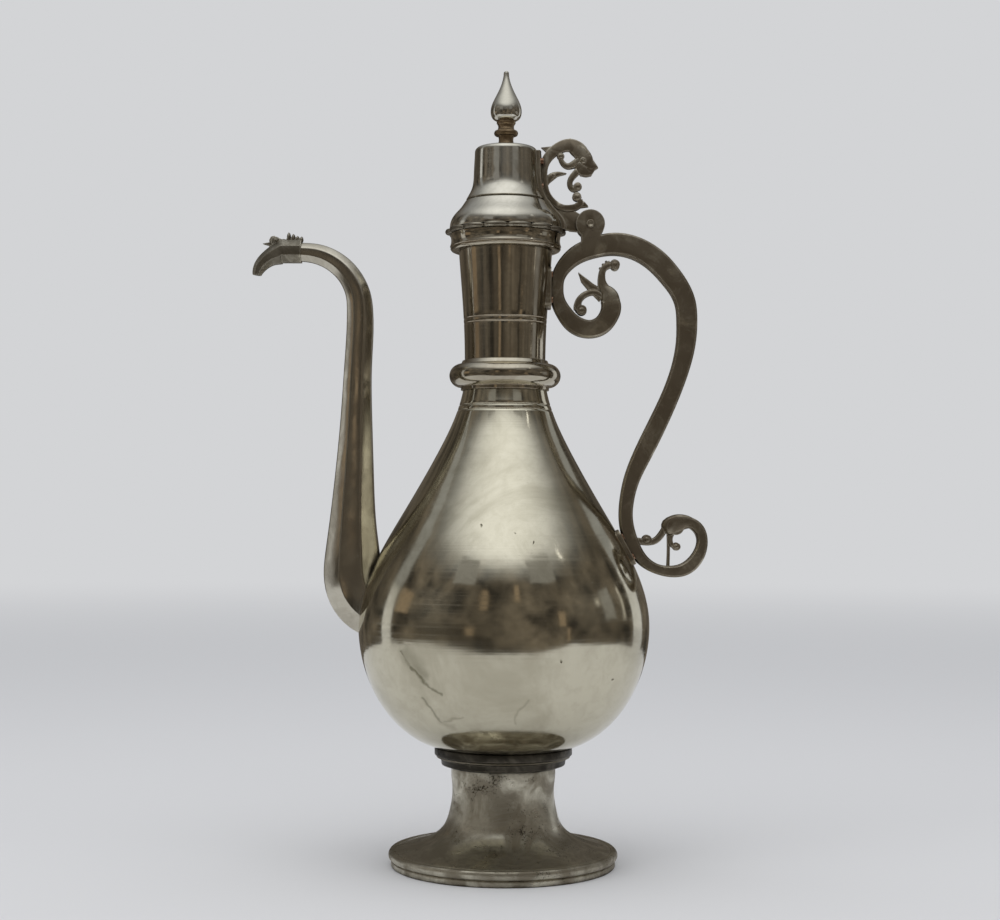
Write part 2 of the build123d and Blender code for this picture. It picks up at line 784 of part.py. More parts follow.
# Lid shell: a raised bell with a straight drum and a flat top
with BuildPart() as lid_shell:
    add(lid_form.part)
    with BuildSketch(Plane.XZ):
        with BuildLine():
            inner_crown = lid_line(sheet)
            Polyline(
                inner_crown @ 1,
                (0, lid_bottom - sheet),
                (lid_flare_radius - sheet, lid_bottom - sheet),
                (lid_flare_radius - sheet, lid_bottom),
            )
        make_face()
    revolve(axis=Axis.Z, mode=Mode.SUBTRACT)
    with BuildSketch(Plane.XY.offset(lid_bottom)):
        Circle(spindle_radius)
    extrude(amount=2 * lid_height, mode=Mode.SUBTRACT)
    add(strap_shanks, mode=Mode.SUBTRACT)
finish(lid_shell, "lid_shell")

# Strap: forged to the lid's side, with a tongue that ends in the hinge knuckle
strap_top = lid_top - strap_top_gap
with BuildPart() as lid_strap:
    with BuildSketch(Plane.XZ):
        with BuildLine():
            outer_crown = lid_line(-strap_thickness)
            Polyline(outer_crown @ 1, (0, lid_bottom), (lid_flare_radius + strap_thickness, lid_bottom))
        make_face()
    revolve(axis=Axis.Z)
    with BuildSketch(Plane.XY.offset(lid_bottom)):
        with Locations((lid_flare_radius, 0)):
            Rectangle(1.9 * lid_flare_radius, strap_width)
    extrude(amount=strap_top - lid_bottom, mode=Mode.INTERSECT)
    tongue = [
        (lid_drum_radius + 4, lid_bottom + lid_step_rise + 2.2),
        (lid_drum_radius + 4, lid_bottom),
        (lobe_plate_radius + 1.5, lid_bottom),
        (hinge_x - 13, hinge_z - 4.2),
        (hinge_x - 4, hinge_z - knuckle_radius + 1.2),
        (hinge_x, hinge_z),
        (hinge_x - 4, hinge_z + knuckle_radius - 1.2),
        (hinge_x - 10.5, hinge_z + 8.8),
        (lid_flare_radius - 1, hinge_z + 9.6),
    ]
    add(flat_leaf(tongue, tongue_thickness))
    add(flat_boss((hinge_x, hinge_z), knuckle_radius, tongue_thickness))
    add(flat_boss((hinge_x, hinge_z), pin_radius + pin_clearance, handle_depth), mode=Mode.SUBTRACT)
    add(lid_form.part, mode=Mode.SUBTRACT)
    add(strap_shanks, mode=Mode.SUBTRACT)
finish(lid_strap, "lid_strap")

with BuildPart() as strap_rivets:
    add(rivets_on(strap_plane, strap_rivets_across, strap_rivet_rise, strap_rivet_grip))
    add(lid_shell.part, mode=Mode.SUBTRACT)
    add(lid_strap.part, mode=Mode.SUBTRACT)
finish(strap_rivets, "strap_rivets")

# Thumb-piece: a pierced C-scroll that ends in a beaked head, seated on the strap and its tongue
thumb_rows = [
    (-5.3, 42.7, 10.1),
    (-9.1, 49.0, 8.5),
    (-13.8, 50.4, 7.6),
    (-19.8, 48.7, 6.9),
    (-24.9, 44.9, 6.2),
    (-28.6, 39.5, 5.6),
    (-29.9, 32.6, 5.4),
    (-29.4, 25.7, 5.0),
    (-27.4, 19.0, 4.4),
    (-23.0, 13.7, 3.9),
    (-17.3, 10.5, 3.9),
    (-11.6, 10.4, 4.1),
    (-7.2, 12.4, 3.8),
    (-6.6, 16.0, 3.4),
]
throat_rows = [(-7.6, 34.0, 3.8), (-12.0, 29.4, 3.5), (-13.0, 26.0, 3.2), (-11.6, 22.8, 3.2)]
throat_rows.append((-8.6, 22.5, 3.2))
mane_rows = [(-18.6, 42.6, 2.4), (-17.8, 39.4, 2.8), (-15.0, 37.0, 3.2), (-10.4, 38.3, 4.4)]
mane_rows.append((-6.6, 40.8, 5.7))
head_outline = [(-9.5, 43.0), (-0.2, 43.5), (3.0, 38.9), (4.9, 36.1), (3.2, 35.4), (0.7, 31.5)]
head_outline += [(-6.2, 31.0), (-9.5, 36.0)]
thumb_leaves = [
    [(-6.6, 17.2), (-1.2, 11.2), (-6.6, 10.4), (-9.0, 13.0)],
    [(-27.0, 45.0), (-31.2, 48.8), (-22.4, 49.8)],
    [(-17.0, 52.4), (-12.7, 54.9), (-10.4, 51.0)],
    [(-28.6, 28.0), (-26.6, 31.6), (-20.1, 33.4), (-15.0, 32.4), (-20.6, 30.6), (-28.0, 24.6)],
]
with BuildPart() as thumbpiece:
    add(flat_bar(placed(thumb_rows), thumb_depth))
    add(flat_bar(placed(throat_rows), thumb_depth - 1))
    add(flat_bar(placed(mane_rows), thumb_depth - 1))
    add(flat_leaf(placed(head_outline), thumb_depth))
    for leaf in thumb_leaves:
        add(flat_leaf(placed(leaf), thumb_depth - 2))
    add(flat_boss(from_hinge(-8.6, 17.6), 2.8, thumb_depth))
    add(flat_boss(from_hinge(-8.1, 24.1), 2.5, thumb_depth))
    add(flat_boss(from_hinge(-18.9, 43.4), 2.1, thumb_depth))
    add(flat_boss(from_hinge(-4.8, 40.3), 1.6, thumb_depth + 1.2))
    add(lid_strap.part, mode=Mode.SUBTRACT)
    add(lid_form.part, mode=Mode.SUBTRACT)
finish(thumbpiece, "thumbpiece")

# Lobed plate under the lid: round-edged lobes all round one disc
lobe_radius = 1.1 * lobe_plate_radius * sin(pi / lobe_count)
lobe_centre = lobe_plate_radius - lobe_radius
with BuildPart() as lobe:
    with BuildSketch(Plane.XZ):
        with BuildLine():
            nose = ThreePointArc(
                (lobe_radius - 0.8, lid_bottom),
                (lobe_radius, (lid_bottom + plate_bottom) / 2),
                (lobe_radius - 0.8, plate_bottom),
            )
            Polyline(nose @ 1, (0, plate_bottom), (0, lid_bottom), nose @ 0)
        make_face()
    revolve(axis=Axis.Z)
with BuildPart() as lobed_plate:
    with BuildSketch(Plane.XY.offset(plate_bottom)):
        Circle(lobe_centre + 0.2 * lobe_radius)
    extrude(amount=lobe_plate_thickness)
    with PolarLocations(lobe_centre, lobe_count, start_angle=lobe_start_angle):
        add(lobe.part)
    with BuildSketch(Plane.XY.offset(plate_bottom)):
        Circle(bezel_radius)
    extrude(amount=lobe_plate_thickness, mode=Mode.SUBTRACT)
finish(lobed_plate, "lobed_plate")

# Bezel: a short tapering ring that drops into the mouth and keeps the lid in line
with BuildPart() as lid_bezel:
    with BuildSketch(Plane.XZ):
        with BuildLine():
            Polyline(
                (bezel_radius, lid_bottom),
                (bezel_radius, plate_bottom),
                (bezel_radius - 0.8, plate_bottom - bezel_depth),
                (bezel_radius - 0.8 - sheet, plate_bottom - bezel_depth),
                (bezel_radius - sheet, plate_bottom),
                (bezel_radius - sheet, lid_bottom),
                close=True,
            )
        make_face()
    revolve(axis=Axis.Z)
finish(lid_bezel, "lid_bezel")

# Finial: a drop, a spool and a disc threaded on a spindle, riveted over a rove under the lid
rove_top = lid_top - sheet
disc_low = lid_top + finial_base_height
spool_low = disc_low + finial_disc_height
drop_low = spool_low + spool_height
with BuildPart() as finial_spindle:
    with BuildSketch(Plane.XZ):
        with BuildLine():
            waist_arc = ThreePointArc(
                (finial_base_radius, lid_top + 0.25 * finial_base_height),
                (finial_waist_radius, lid_top + 0.62 * finial_base_height),
                (finial_base_radius - 0.2, disc_low),
            )
            Polyline(
                waist_arc @ 1,
                (spindle_radius, disc_low),
                (spindle_radius, drop_low + drop_socket),
                (0, drop_low + drop_socket),
                (0, rove_top - rove_thickness - 0.8),
                (spindle_radius + 0.8, rove_top - rove_thickness - 0.8),
                (spindle_radius + 0.8, rove_top - rove_thickness),
                (spindle_radius, rove_top - rove_thickness),
                (spindle_radius, lid_top),
                (finial_base_radius + 0.4, lid_top),
                waist_arc @ 0,
            )
        make_face()
    revolve(axis=Axis.Z)
finish(finial_spindle, "finial_spindle")

with BuildPart() as finial_rove:
    with BuildSketch(Plane.XY.offset(rove_top - rove_thickness)):
        Circle(rove_radius)
        Circle(spindle_radius, mode=Mode.SUBTRACT)
    extrude(amount=rove_thickness)
finish(finial_rove, "finial_rove")

with BuildPart() as finial_disc:
    with BuildSketch(Plane.XZ):
        with BuildLine():
            rim = ThreePointArc(
                (finial_disc_radius - 0.8, disc_low),
                (finial_disc_radius, (disc_low + spool_low) / 2),
                (finial_disc_radius - 0.8, spool_low),
            )
            Polyline(rim @ 1, (spindle_radius, spool_low), (spindle_radius, disc_low), rim @ 0)
        make_face()
    revolve(axis=Axis.Z)
finish(finial_disc, "finial_disc")

with BuildPart() as finial_spool:
    with BuildSketch(Plane.XZ):
        with BuildLine():
            hollow = ThreePointArc(
                (spool_radius, spool_low),
                (spool_waist_radius, spool_low + 0.4 * spool_height),
                (spool_radius, spool_low + 0.72 * spool_height),
            )
            Polyline(
                hollow @ 1,
                (spool_radius, drop_low),
                (spindle_radius, drop_low),
                (spindle_radius, spool_low),
                hollow @ 0,
            )
        make_face()
    revolve(axis=Axis.Z)
finish(finial_spool, "finial_spool")

with BuildPart() as finial_drop:
    with BuildSketch(Plane.XZ):
        with BuildLine():
            swell = Spline(
                (spool_radius, drop_low),
                (0.88 * drop_radius, drop_low + 0.05 * drop_height),
                (drop_radius, drop_low + 0.21 * drop_height),
                (0.67 * drop_radius, drop_low + 0.49 * drop_height),
                (0.25 * drop_radius, drop_low + 0.8 * drop_height),
                (0.17 * drop_radius, drop_low + 0.96 * drop_height),
            )
            tip = ThreePointArc(
                swell @ 1,
                (0.13 * drop_radius, drop_low + 0.988 * drop_height),
                (0.05 * drop_radius, drop_low + drop_height),
            )
            Polyline(
                tip @ 1,
                (0, drop_low + drop_height),
                (0, drop_low + drop_socket),
                (spindle_radius, drop_low + drop_socket),
                (spindle_radius, drop_low),
                swell @ 0,
            )
        make_face()
    revolve(axis=Axis.Z)
finish(finial_drop, "finial_drop")
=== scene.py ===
from math import atan2, cos, hypot, pi, radians, sin, tau

import bmesh
import bpy
from mathutils import Matrix, Vector


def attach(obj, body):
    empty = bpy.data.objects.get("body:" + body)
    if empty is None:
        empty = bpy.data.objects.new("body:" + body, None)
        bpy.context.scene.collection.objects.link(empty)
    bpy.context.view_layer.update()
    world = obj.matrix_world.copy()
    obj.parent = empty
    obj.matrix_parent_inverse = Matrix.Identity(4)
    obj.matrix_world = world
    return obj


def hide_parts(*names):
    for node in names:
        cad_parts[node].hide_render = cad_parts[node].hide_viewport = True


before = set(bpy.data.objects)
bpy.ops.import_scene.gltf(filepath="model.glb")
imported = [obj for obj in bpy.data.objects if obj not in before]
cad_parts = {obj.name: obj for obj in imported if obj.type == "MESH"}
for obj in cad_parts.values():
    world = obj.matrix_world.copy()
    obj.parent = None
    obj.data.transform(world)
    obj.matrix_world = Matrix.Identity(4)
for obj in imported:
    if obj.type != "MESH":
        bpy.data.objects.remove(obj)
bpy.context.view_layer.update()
scene = bpy.context.scene
scene.view_settings.view_transform = "Standard"

# Camera. It stands a little over a metre from the ewer, level with the middle of the belly, and looks
# slightly up along +Y, as in the photograph.
camera_lens = bpy.data.cameras.new("camera")
camera_lens.sensor_width = 36
camera_lens.lens = 62.67
camera = bpy.data.objects.new("camera", camera_lens)
camera.location = (0, -1.097, 0.222)
camera.rotation_euler = (radians(90 + 1.633), radians(-0.26), radians(0.145))
scene.collection.objects.link(camera)
scene.camera = camera

# Foot rim. A rolled band over a thinner lower band, turned and then soldered round the edge of the foot.
# It is tinned copper, blotched and darkened where it has stood on damp tables.
mm = 0.001


def arc_through(start, middle, end, steps=8):
    """Points on the round arc through three points."""
    (ax, ay), (bx, by), (cx, cy) = start, middle, end
    d = 2 * (ax * (by - cy) + bx * (cy - ay) + cx * (ay - by))
    a2, b2, c2 = ax * ax + ay * ay, bx * bx + by * by, cx * cx + cy * cy
    ux = (a2 * (by - cy) + b2 * (cy - ay) + c2 * (ay - by)) / d
    uy = (a2 * (cx - bx) + b2 * (ax - cx) + c2 * (bx - ax)) / d
    radius = hypot(ax - ux, ay - uy)
    first, through, last = (atan2(y - uy, x - ux) for x, y in (start, middle, end))
    turn = (last - first) % tau
    if (through - first) % tau > turn:
        turn -= tau
    return [
        (ux + radius * cos(first + turn * i / steps), uy + radius * sin(first + turn * i / steps))
        for i in range(steps + 1)
    ]


def smooth_through(points, directions, steps=8, settling=60):
    """Points on a smooth curve through the given ones, with its direction given where it isn't None."""
    points = [Vector(p) for p in points]
    gaps = [(after - before).length for before, after in zip(points, points[1:])]
    slopes = [Vector(given).normalized() if given else 0 * points[0] for given in directions]
    for _ in range(settling):
        for i, given in enumerate(directions):
            if given is None:
                near, far = gaps[i - 1], gaps[i]
                pull = 3 * ((points[i] - points[i - 1]) / near**2 + (points[i + 1] - points[i]) / far**2)
                slopes[i] = (pull - slopes[i - 1] / near - slopes[i + 1] / far) / (2 / near + 2 / far)
    curve = []
    for i, gap in enumerate(gaps):
        for step in range(steps):
            t = step / steps
            curve.append(
                tuple(
                    points[i] * (2 * t**3 - 3 * t**2 + 1)
                    + slopes[i] * (t**3 - 2 * t**2 + t) * gap
                    + points[i + 1] * (3 * t**2 - 2 * t**3)
                    + slopes[i + 1] * (t**3 - t**2) * gap
                )
            )
    return curve + [tuple(points[-1])]


def soften(shape, edge, angle=40, segments=2):
    """Rounds every edge of a shape that is sharper than an angle in degrees."""
    sharp = [e for e in shape.edges if len(e.link_faces) == 2 and e.calc_face_angle() > radians(angle)]
    bmesh.ops.bevel(
        shape,
        geom=sharp,
        offset=edge * mm,
        offset_type="OFFSET",
        segments=segments,
        profile=0.5,
        affect="EDGES",
        clamp_overlap=True,
        material=-1,
    )


def object_of(shape, name, finish):
    """Puts a shape into the scene as an object with one material."""
    mesh = bpy.data.meshes.new(name)
    shape.to_mesh(mesh)
    shape.free()
    mesh.materials.append(finish)
    made = bpy.data.objects.new(name, mesh)
    scene.collection.objects.link(made)
    return made


def finished(shape, name, finish, body, slot, *nodes, sharp=40):
    """Turns a finished shape into a piece that rides on a body and stands for CAD nodes."""
    bmesh.ops.recalc_face_normals(shape, faces=shape.faces)
    piece = object_of(shape, name, finish)
    piece.data.shade_smooth()
    piece.data.set_sharp_from_angle(angle=radians(sharp))
    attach(piece, body)
    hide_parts(*nodes)
    return piece


def turned(outline, edge=0.3, segments=192):
    """Turns an outline of (radius, height) points in millimetres about the vertical axis."""
    shape = bmesh.new()
    points = [shape.verts.new((radius * mm, 0, height * mm)) for radius, height in outline]
    lines = [shape.edges.new(pair) for pair in zip(points, points[1:])]
    if outline[0][0] > 0 or outline[-1][0] > 0:
        lines.append(shape.edges.new((points[-1], points[0])))
    bmesh.ops.spin(
        shape, geom=points + lines, cent=(0, 0, 0), axis=(0, 0, 1), angle=tau, steps=segments, use_merge=True
    )
    bmesh.ops.remove_doubles(shape, verts=shape.verts, dist=1e-6)
    soften(shape, edge)
    return shape


def put(tree, socket, value):
    """Links a socket to another one, or gives it a number, a vector or a colour."""
    if isinstance(value, bpy.types.NodeSocket):
        tree.links.new(value, socket)
    elif value is not None:
        socket.default_value = (*value, 1.0) if socket.type == "RGBA" else value


def add_node(tree, kind, **settings):
    """Adds a shader node, with its properties and its inputs set by name."""
    made = tree.nodes.new("ShaderNode" + kind)
    for name, value in settings.items():
        if name in made.bl_rna.properties:
            setattr(made, name, value)
        else:
            put(tree, made.inputs[name.replace("_", " ").title()], value)
    return made


def arithmetic(tree, operation, *values):
    """A Math node between sockets or numbers; returns its output."""
    made = add_node(tree, "Math", operation=operation)
    for socket, value in zip(made.inputs, values):
        put(tree, socket, value)
    return made.outputs[0]


def vector_math(tree, operation, *values):
    """A Vector Math node between sockets or vectors; returns its output, a vector or a number."""
    made = add_node(tree, "VectorMath", operation=operation)
    for socket, value in zip(made.inputs, values):
        put(tree, socket, value)
    return made.outputs["Value" if operation in ("DOT_PRODUCT", "LENGTH", "DISTANCE") else "Vector"]


def between(tree, value, low, high):
    """A smooth mask that rises from 0 to 1 as a value goes from low to high; returns its output."""
    mask = add_node(tree, "MapRange", interpolation_type="SMOOTHSTEP")
    for socket, number in (("Value", value), ("From Min", low), ("From Max", high)):
        put(tree, mask.inputs[socket], number)
    return mask.outputs["Result"]


def noise(tree, place, **settings):
    """A Noise Texture node read at a place; returns its value."""
    return add_node(tree, "TexNoise", vector=place, **settings).outputs["Fac"]


def new_mask(name, **inputs):
    """Starts a node group that makes a mask from a place and named values."""
    group = bpy.data.node_groups.new(name, "ShaderNodeTree")
    group.interface.new_socket("Vector", in_out="INPUT", socket_type="NodeSocketVector")
    for socket, value in inputs.items():
        kind = "NodeSocketVector" if isinstance(value, tuple) else "NodeSocketFloat"
        group.interface.new_socket(socket, in_out="INPUT", socket_type=kind).default_value = value
    group.interface.new_socket("Mask", in_out="OUTPUT", socket_type="NodeSocketFloat")
    given = group.nodes.new("NodeGroupInput")
    return group, given.outputs, group.nodes.new("NodeGroupOutput").inputs["Mask"]


# Clouds of tarnish: broad soft blotches with ragged edges
clouds, cloud_in, cloud_mask = new_mask("clouds of tarnish", Scale=20.0, Level=0.5)
cloud_noise = noise(
    clouds, cloud_in["Vector"], scale=cloud_in["Scale"], detail=7.0, roughness=0.62, distortion=0.8
)
cloud_edge = 0.13
cloud_low = arithmetic(clouds, "SUBTRACT", cloud_in["Level"], cloud_edge)
cloud_high = arithmetic(clouds, "ADD", cloud_in["Level"], cloud_edge)
put(clouds, cloud_mask, between(clouds, cloud_noise, cloud_low, cloud_high))

# Hairlines: the fine lines that polishing round the vessel leaves
hairlines, hairline_in, hairline_mask = new_mask("hairlines", Grain=(8.0, 8.0, 900.0))
grain_place = vector_math(hairlines, "MULTIPLY", hairline_in["Vector"], hairline_in["Grain"])
grain_noise = noise(hairlines, grain_place, scale=1.0, detail=3.0, roughness=0.6)
put(hairlines, hairline_mask, between(hairlines, grain_noise, 0.45, 0.7))

# Pits: small ragged dark spots where the tin has failed, gathered in patches
pits, pit_in, pit_mask = new_mask("pits", Scale=700.0, Cover=0.3)
pit_spots = noise(pits, pit_in["Vector"], scale=pit_in["Scale"], detail=4.0, roughness=0.75, distortion=0.6)
pit_patches = noise(pits, pit_in["Vector"], scale=36.0, detail=6.0, roughness=0.7)
pit_cover = arithmetic(pits, "MULTIPLY", pit_in["Cover"], between(pits, pit_patches, 0.3, 0.75))
pit_level = arithmetic(pits, "SUBTRACT", 0.80, pit_cover)
pit_edge = arithmetic(pits, "ADD", pit_level, 0.09)
put(pits, pit_mask, between(pits, pit_spots, pit_level, pit_edge))

# Worn edges: corners that hands and polishing have rubbed bare; where the bare colour is paler than the
# metal, the mask also paints a highlight along them
wear_and_highlight, wear_and_highlight_in, wear_and_highlight_mask = new_mask("worn edges and highlight", Reach=0.0012)
round_normal = add_node(wear_and_highlight, "Bevel", samples=6, radius=wear_and_highlight_in["Reach"]).outputs["Normal"]
true_normal = add_node(wear_and_highlight, "NewGeometry").outputs["Normal"]
edge_bend = arithmetic(wear_and_highlight, "SUBTRACT", 1.0, vector_math(wear_and_highlight, "DOT_PRODUCT", round_normal, true_normal))
edge_break = noise(wear_and_highlight, wear_and_highlight_in["Vector"], scale=160.0, detail=4.0, roughness=0.65)
edge_ragged = arithmetic(wear_and_highlight, "MULTIPLY", edge_bend, arithmetic(wear_and_highlight, "ADD", edge_break, 0.5))
put(wear_and_highlight, wear_and_highlight_mask, between(wear_and_highlight, edge_ragged, 0.01, 0.09))

# Grime and painted shade: dark dirt that polishing never reaches and painted shade from ambient
# occlusion, in corners and under mouldings
grime_and_shade, grime_and_shade_in, grime_and_shade_mask = new_mask("grime_and_shade", Reach=0.004)
open_share = add_node(grime_and_shade, "AmbientOcclusion", samples=8, only_local=False, distance=grime_and_shade_in["Reach"])
shade_depth = arithmetic(grime_and_shade, "SUBTRACT", 1.0, open_share.outputs["AO"])
grime_and_shade_break = noise(grime_and_shade, grime_and_shade_in["Vector"], scale=110.0, detail=4.0, roughness=0.6)
grime_and_shade_ragged = arithmetic(grime_and_shade, "MULTIPLY", shade_depth, arithmetic(grime_and_shade, "ADD", grime_and_shade_break, 0.5))
put(grime_and_shade, grime_and_shade_mask, between(grime_and_shade, grime_and_shade_ragged, 0.28, 0.75))


def blend_colour(tree, mask, under, over):
    """A Mix node from one colour to another by a mask; returns its output."""
    made = add_node(tree, "Mix", data_type="RGBA", factor=mask)
    for socket, colour in zip(made.inputs[6:8], (under, over)):
        put(tree, socket, colour)
    return made.outputs[2]


def aged_metal(
    name,
    bright,
    dull,
    dark,
    bare_and_highlight,
    tarnish=0.5,
    tarnish_scale=22.0,
    roughness=(0.2, 0.4),
    pitted=0.2,
    pit_scale=700.0,
    grain=(8.0, 8.0, 900.0),
    edge_reach=1.2,
    hammered=0.25,
):
    """A polished old metal: clouds of dull tarnish, hairlines, pits, grime with painted shade in corners, and
    worn edges that are partly a painted highlight.
    """
    finish = bpy.data.materials.new(name)
    finish.use_nodes = True
    tree = finish.node_tree
    shader = tree.nodes["Principled BSDF"]
    shader.inputs["Metallic"].default_value = 1.0
    place = add_node(tree, "TexCoord").outputs["Object"]

    def effect(group, **values):
        return add_node(tree, "Group", node_tree=group, vector=place, **values).outputs["Mask"]

    tarnished = effect(clouds, scale=tarnish_scale, level=1.0 - tarnish)
    speckled = effect(clouds, scale=tarnish_scale * 7, level=0.55)
    lined = effect(hairlines, grain=grain)
    holed = effect(pits, scale=pit_scale, cover=pitted)
    rubbed_and_highlit = effect(wear_and_highlight, reach=edge_reach * mm)
    dirt_and_shade = effect(grime_and_shade, reach=5 * mm)

    colour = blend_colour(tree, tarnished, bright, dull)
    # Grime darkens corners with dirt and painted shade; worn edges paler than the metal are partly a painted
    # highlight
    for mask, strength, over in (
        (speckled, 0.35, dull),
        (rubbed_and_highlit, 0.8, bare_and_highlight),
        (dirt_and_shade, 0.85, dark),
        (holed, 0.75, dark),
    ):
        colour = blend_colour(tree, arithmetic(tree, "MULTIPLY", mask, strength), colour, over)
    put(tree, shader.inputs["Base Color"], colour)

    smooth, matt = roughness
    rough = arithmetic(tree, "MULTIPLY_ADD", tarnished, matt - smooth, smooth)
    for mask, strength in ((lined, 0.06), (dirt_and_shade, 0.3), (holed, 0.3)):
        rough = arithmetic(tree, "MULTIPLY_ADD", mask, strength, rough)
    put(tree, shader.inputs["Roughness"], rough)

    blows = noise(tree, place, scale=60.0, detail=1.0, roughness=0.4)
    height = arithmetic(tree, "MULTIPLY", blows, hammered)
    for mask, strength in ((lined, 0.003), (holed, -0.08)):
        height = arithmetic(tree, "MULTIPLY_ADD", mask, strength, height)
    bump = add_node(tree, "Bump", strength=1.0, distance=0.001)
    put(tree, bump.inputs["Height"], height)
    put(tree, shader.inputs["Normal"], bump.outputs["Normal"])
    return finish


foot_finish = aged_metal(
    "blotched tin of the foot",
    bright=(0.58, 0.55, 0.45),
    dull=(0.29, 0.26, 0.20),
    dark=(0.035, 0.026, 0.018),
    bare_and_highlight=(0.50, 0.44, 0.33),
    tarnish=0.5,
    tarnish_scale=42.0,
    roughness=(0.27, 0.55),
    pitted=0.36,
    pit_scale=800.0,
    hammered=0.6,
)

foot_radius = 71.6
rim_height = 9.8
rim_inner = 65.1
rim_ledge = 2.4
rim_foot = foot_radius - 1.6
foot_sheet = 1.5
rim_outline = [
    (foot_radius - 1.5, rim_height),
    (rim_inner + rim_ledge, rim_height),
    (rim_inner + rim_ledge, rim_height - foot_sheet),
    (rim_inner, rim_height - foot_sheet),
    (rim_inner, 0.0),
    (rim_foot - 0.4, 0.0),
    (rim_foot, 0.6),
    (rim_foot, 3.4),
    (rim_foot - 0.8, 4.2),
    (foot_radius - 0.9, 4.7),
]
rim_roll = arc_through((foot_radius - 0.9, 4.7), (foot_radius, 7.0), (foot_radius - 1.5, rim_height))
rim_outline += rim_roll[1:-1]
finished(turned(rim_outline), "rolled_rim", foot_finish, "vessel", "foot_tin", "foot_rim")

# Foot. A pedestal raised from one sheet, hollow underneath, with a stem that flares to a broad flange.
# Its tinning is the most worn of all, mottled with dark spots.
foot_height = 72.9
stem_radius = 32.6
waist_radius = 31.8
stem_collar = 15.0


def foot_line(inset):
    """Outline of the foot from its seat down to the edge of its flange, shrunk by inset."""
    stations = [
        (stem_radius, foot_height - stem_collar, 0),
        (waist_radius, 0.66 * foot_height, 0),
        (waist_radius + 1.8, 0.46 * foot_height, 10),
        (waist_radius + 5.0, 0.34 * foot_height, 28),
        (0.5 * (waist_radius + rim_inner) - 2.0, 0.225 * foot_height, 60),
        (rim_inner + rim_ledge, rim_height, 90),
    ]
    points = [(r - inset * cos(radians(lean)), z - inset * sin(radians(lean))) for r, z, lean in stations]
    return [(stem_radius - inset, foot_height)] + smooth_through(
        points, [(0, -1), None, None, None, None, (1, -0.2)]
    )


foot_shape = turned(foot_line(0) + foot_line(foot_sheet)[::-1])
finished(foot_shape, "spun_foot", foot_finish, "vessel", "foot_tin", "foot")

# Foot collar. A cast ring with a proud band and a step, let in between the stem and the belly.
# It is nearly black, dark tarnish with painted shade from lying under the belly, and its few pale corners are
# wear and painted highlight.
collar_tarnish_and_shade = aged_metal(
    "tin of the foot collar, tarnished and painted with shade",
    bright=(0.12, 0.108, 0.085),
    dull=(0.035, 0.031, 0.024),
    dark=(0.012, 0.010, 0.008),
    bare_and_highlight=(0.5, 0.46, 0.37),
    tarnish=0.6,
    tarnish_scale=45.0,
    roughness=(0.26, 0.45),
    pitted=0.35,
    pit_scale=600.0,
    hammered=0.5,
)
collar_radius = 43.1
collar_step_radius = 39.2
band_top = foot_height + 1.4
band_low = band_top - 5.2
collar_low = foot_height - stem_collar + 3.6
collar_outline = [
    (collar_radius - 0.8, band_top),
    (collar_radius, band_top - 0.8),
    (collar_radius, band_low),
    (collar_radius - 1.6, band_low - 0.8),
    (collar_radius - 1.2, band_low - 1.6),
    (collar_step_radius, band_low - 2.4),
    (collar_step_radius - 0.5, collar_low + 1.4),
    (stem_radius + 2.0, collar_low),
    (stem_radius - 0.1, collar_low),
    (stem_radius - 0.1, foot_height),
    (collar_radius - 2.0, foot_height + 0.6),
]
finished(turned(collar_outline), "foot_ring", collar_tarnish_and_shade, "vessel", "dark_tin", "foot_collar")

# Belly. One sheet of copper raised to a pear, planished, tinned and polished until it mirrors the room.
# Two lines are cut round its shoulder, and its lower half has a few old creases.
belly_finish = aged_metal(
    "polished tin of the belly",
    bright=(0.655, 0.615, 0.485),
    dull=(0.49, 0.455, 0.345),
    dark=(0.06, 0.05, 0.038),
    bare_and_highlight=(0.50, 0.44, 0.33),
    tarnish=0.44,
    tarnish_scale=15.0,
    roughness=(0.09, 0.15),
    pitted=0.16,
    pit_scale=900.0,
    hammered=0.22,
)
sheet = 1.2
throat_radius = 25.4
body_top = 304.4
line_depth = 0.35
line_width = 0.9
shoulder_lines = (284.4, 287.6)


def pear_line(inset):
    """Outline of the belly from its flat base to its throat, shrunk by inset."""
    stations = [
        (34.0, 0.0, 0),
        (59.6, 9.3, 35.8),
        (76.4, 27.0, 56.1),
        (91.15, 76.5, 90),
        (65.2, 144.0, 120.3),
        (41.2, 186.3, 117.7),
        (throat_radius, body_top - foot_height, 90),
    ]
    points = [
        (radius - inset * sin(radians(lean)), foot_height + rise + inset * cos(radians(lean)))
        for radius, rise, lean in stations
    ]
    return smooth_through(points, [(1, 0), None, None, (0, 1), None, None, (-0.08, 1)], steps=26)


def engraved(outline, heights):
    """Cuts fine lines into an outline that rises, at the given heights."""
    cut = list(outline)
    for height in heights:
        below = [p for p in cut if p[1] < height - line_width]
        above = [p for p in cut if p[1] > height + line_width]
        (r0, z0), (r1, z1) = below[-1], above[0]
        for rise, depth in ((-0.5, 0), (-0.15, line_depth), (0.15, line_depth), (0.5, 0)):
            z = height + rise * line_width
            below.append((r0 + (r1 - r0) * (z - z0) / (z1 - z0) - depth, z))
        cut = below + above
    return cut


belly_outline = [(0, foot_height)] + engraved(pear_line(0), shoulder_lines)
belly_outline += pear_line(sheet)[::-1] + [(0, foot_height + sheet)]
finished(turned(belly_outline, edge=0.15), "pear_body", belly_finish, "vessel", "body_tin", "body_shell")

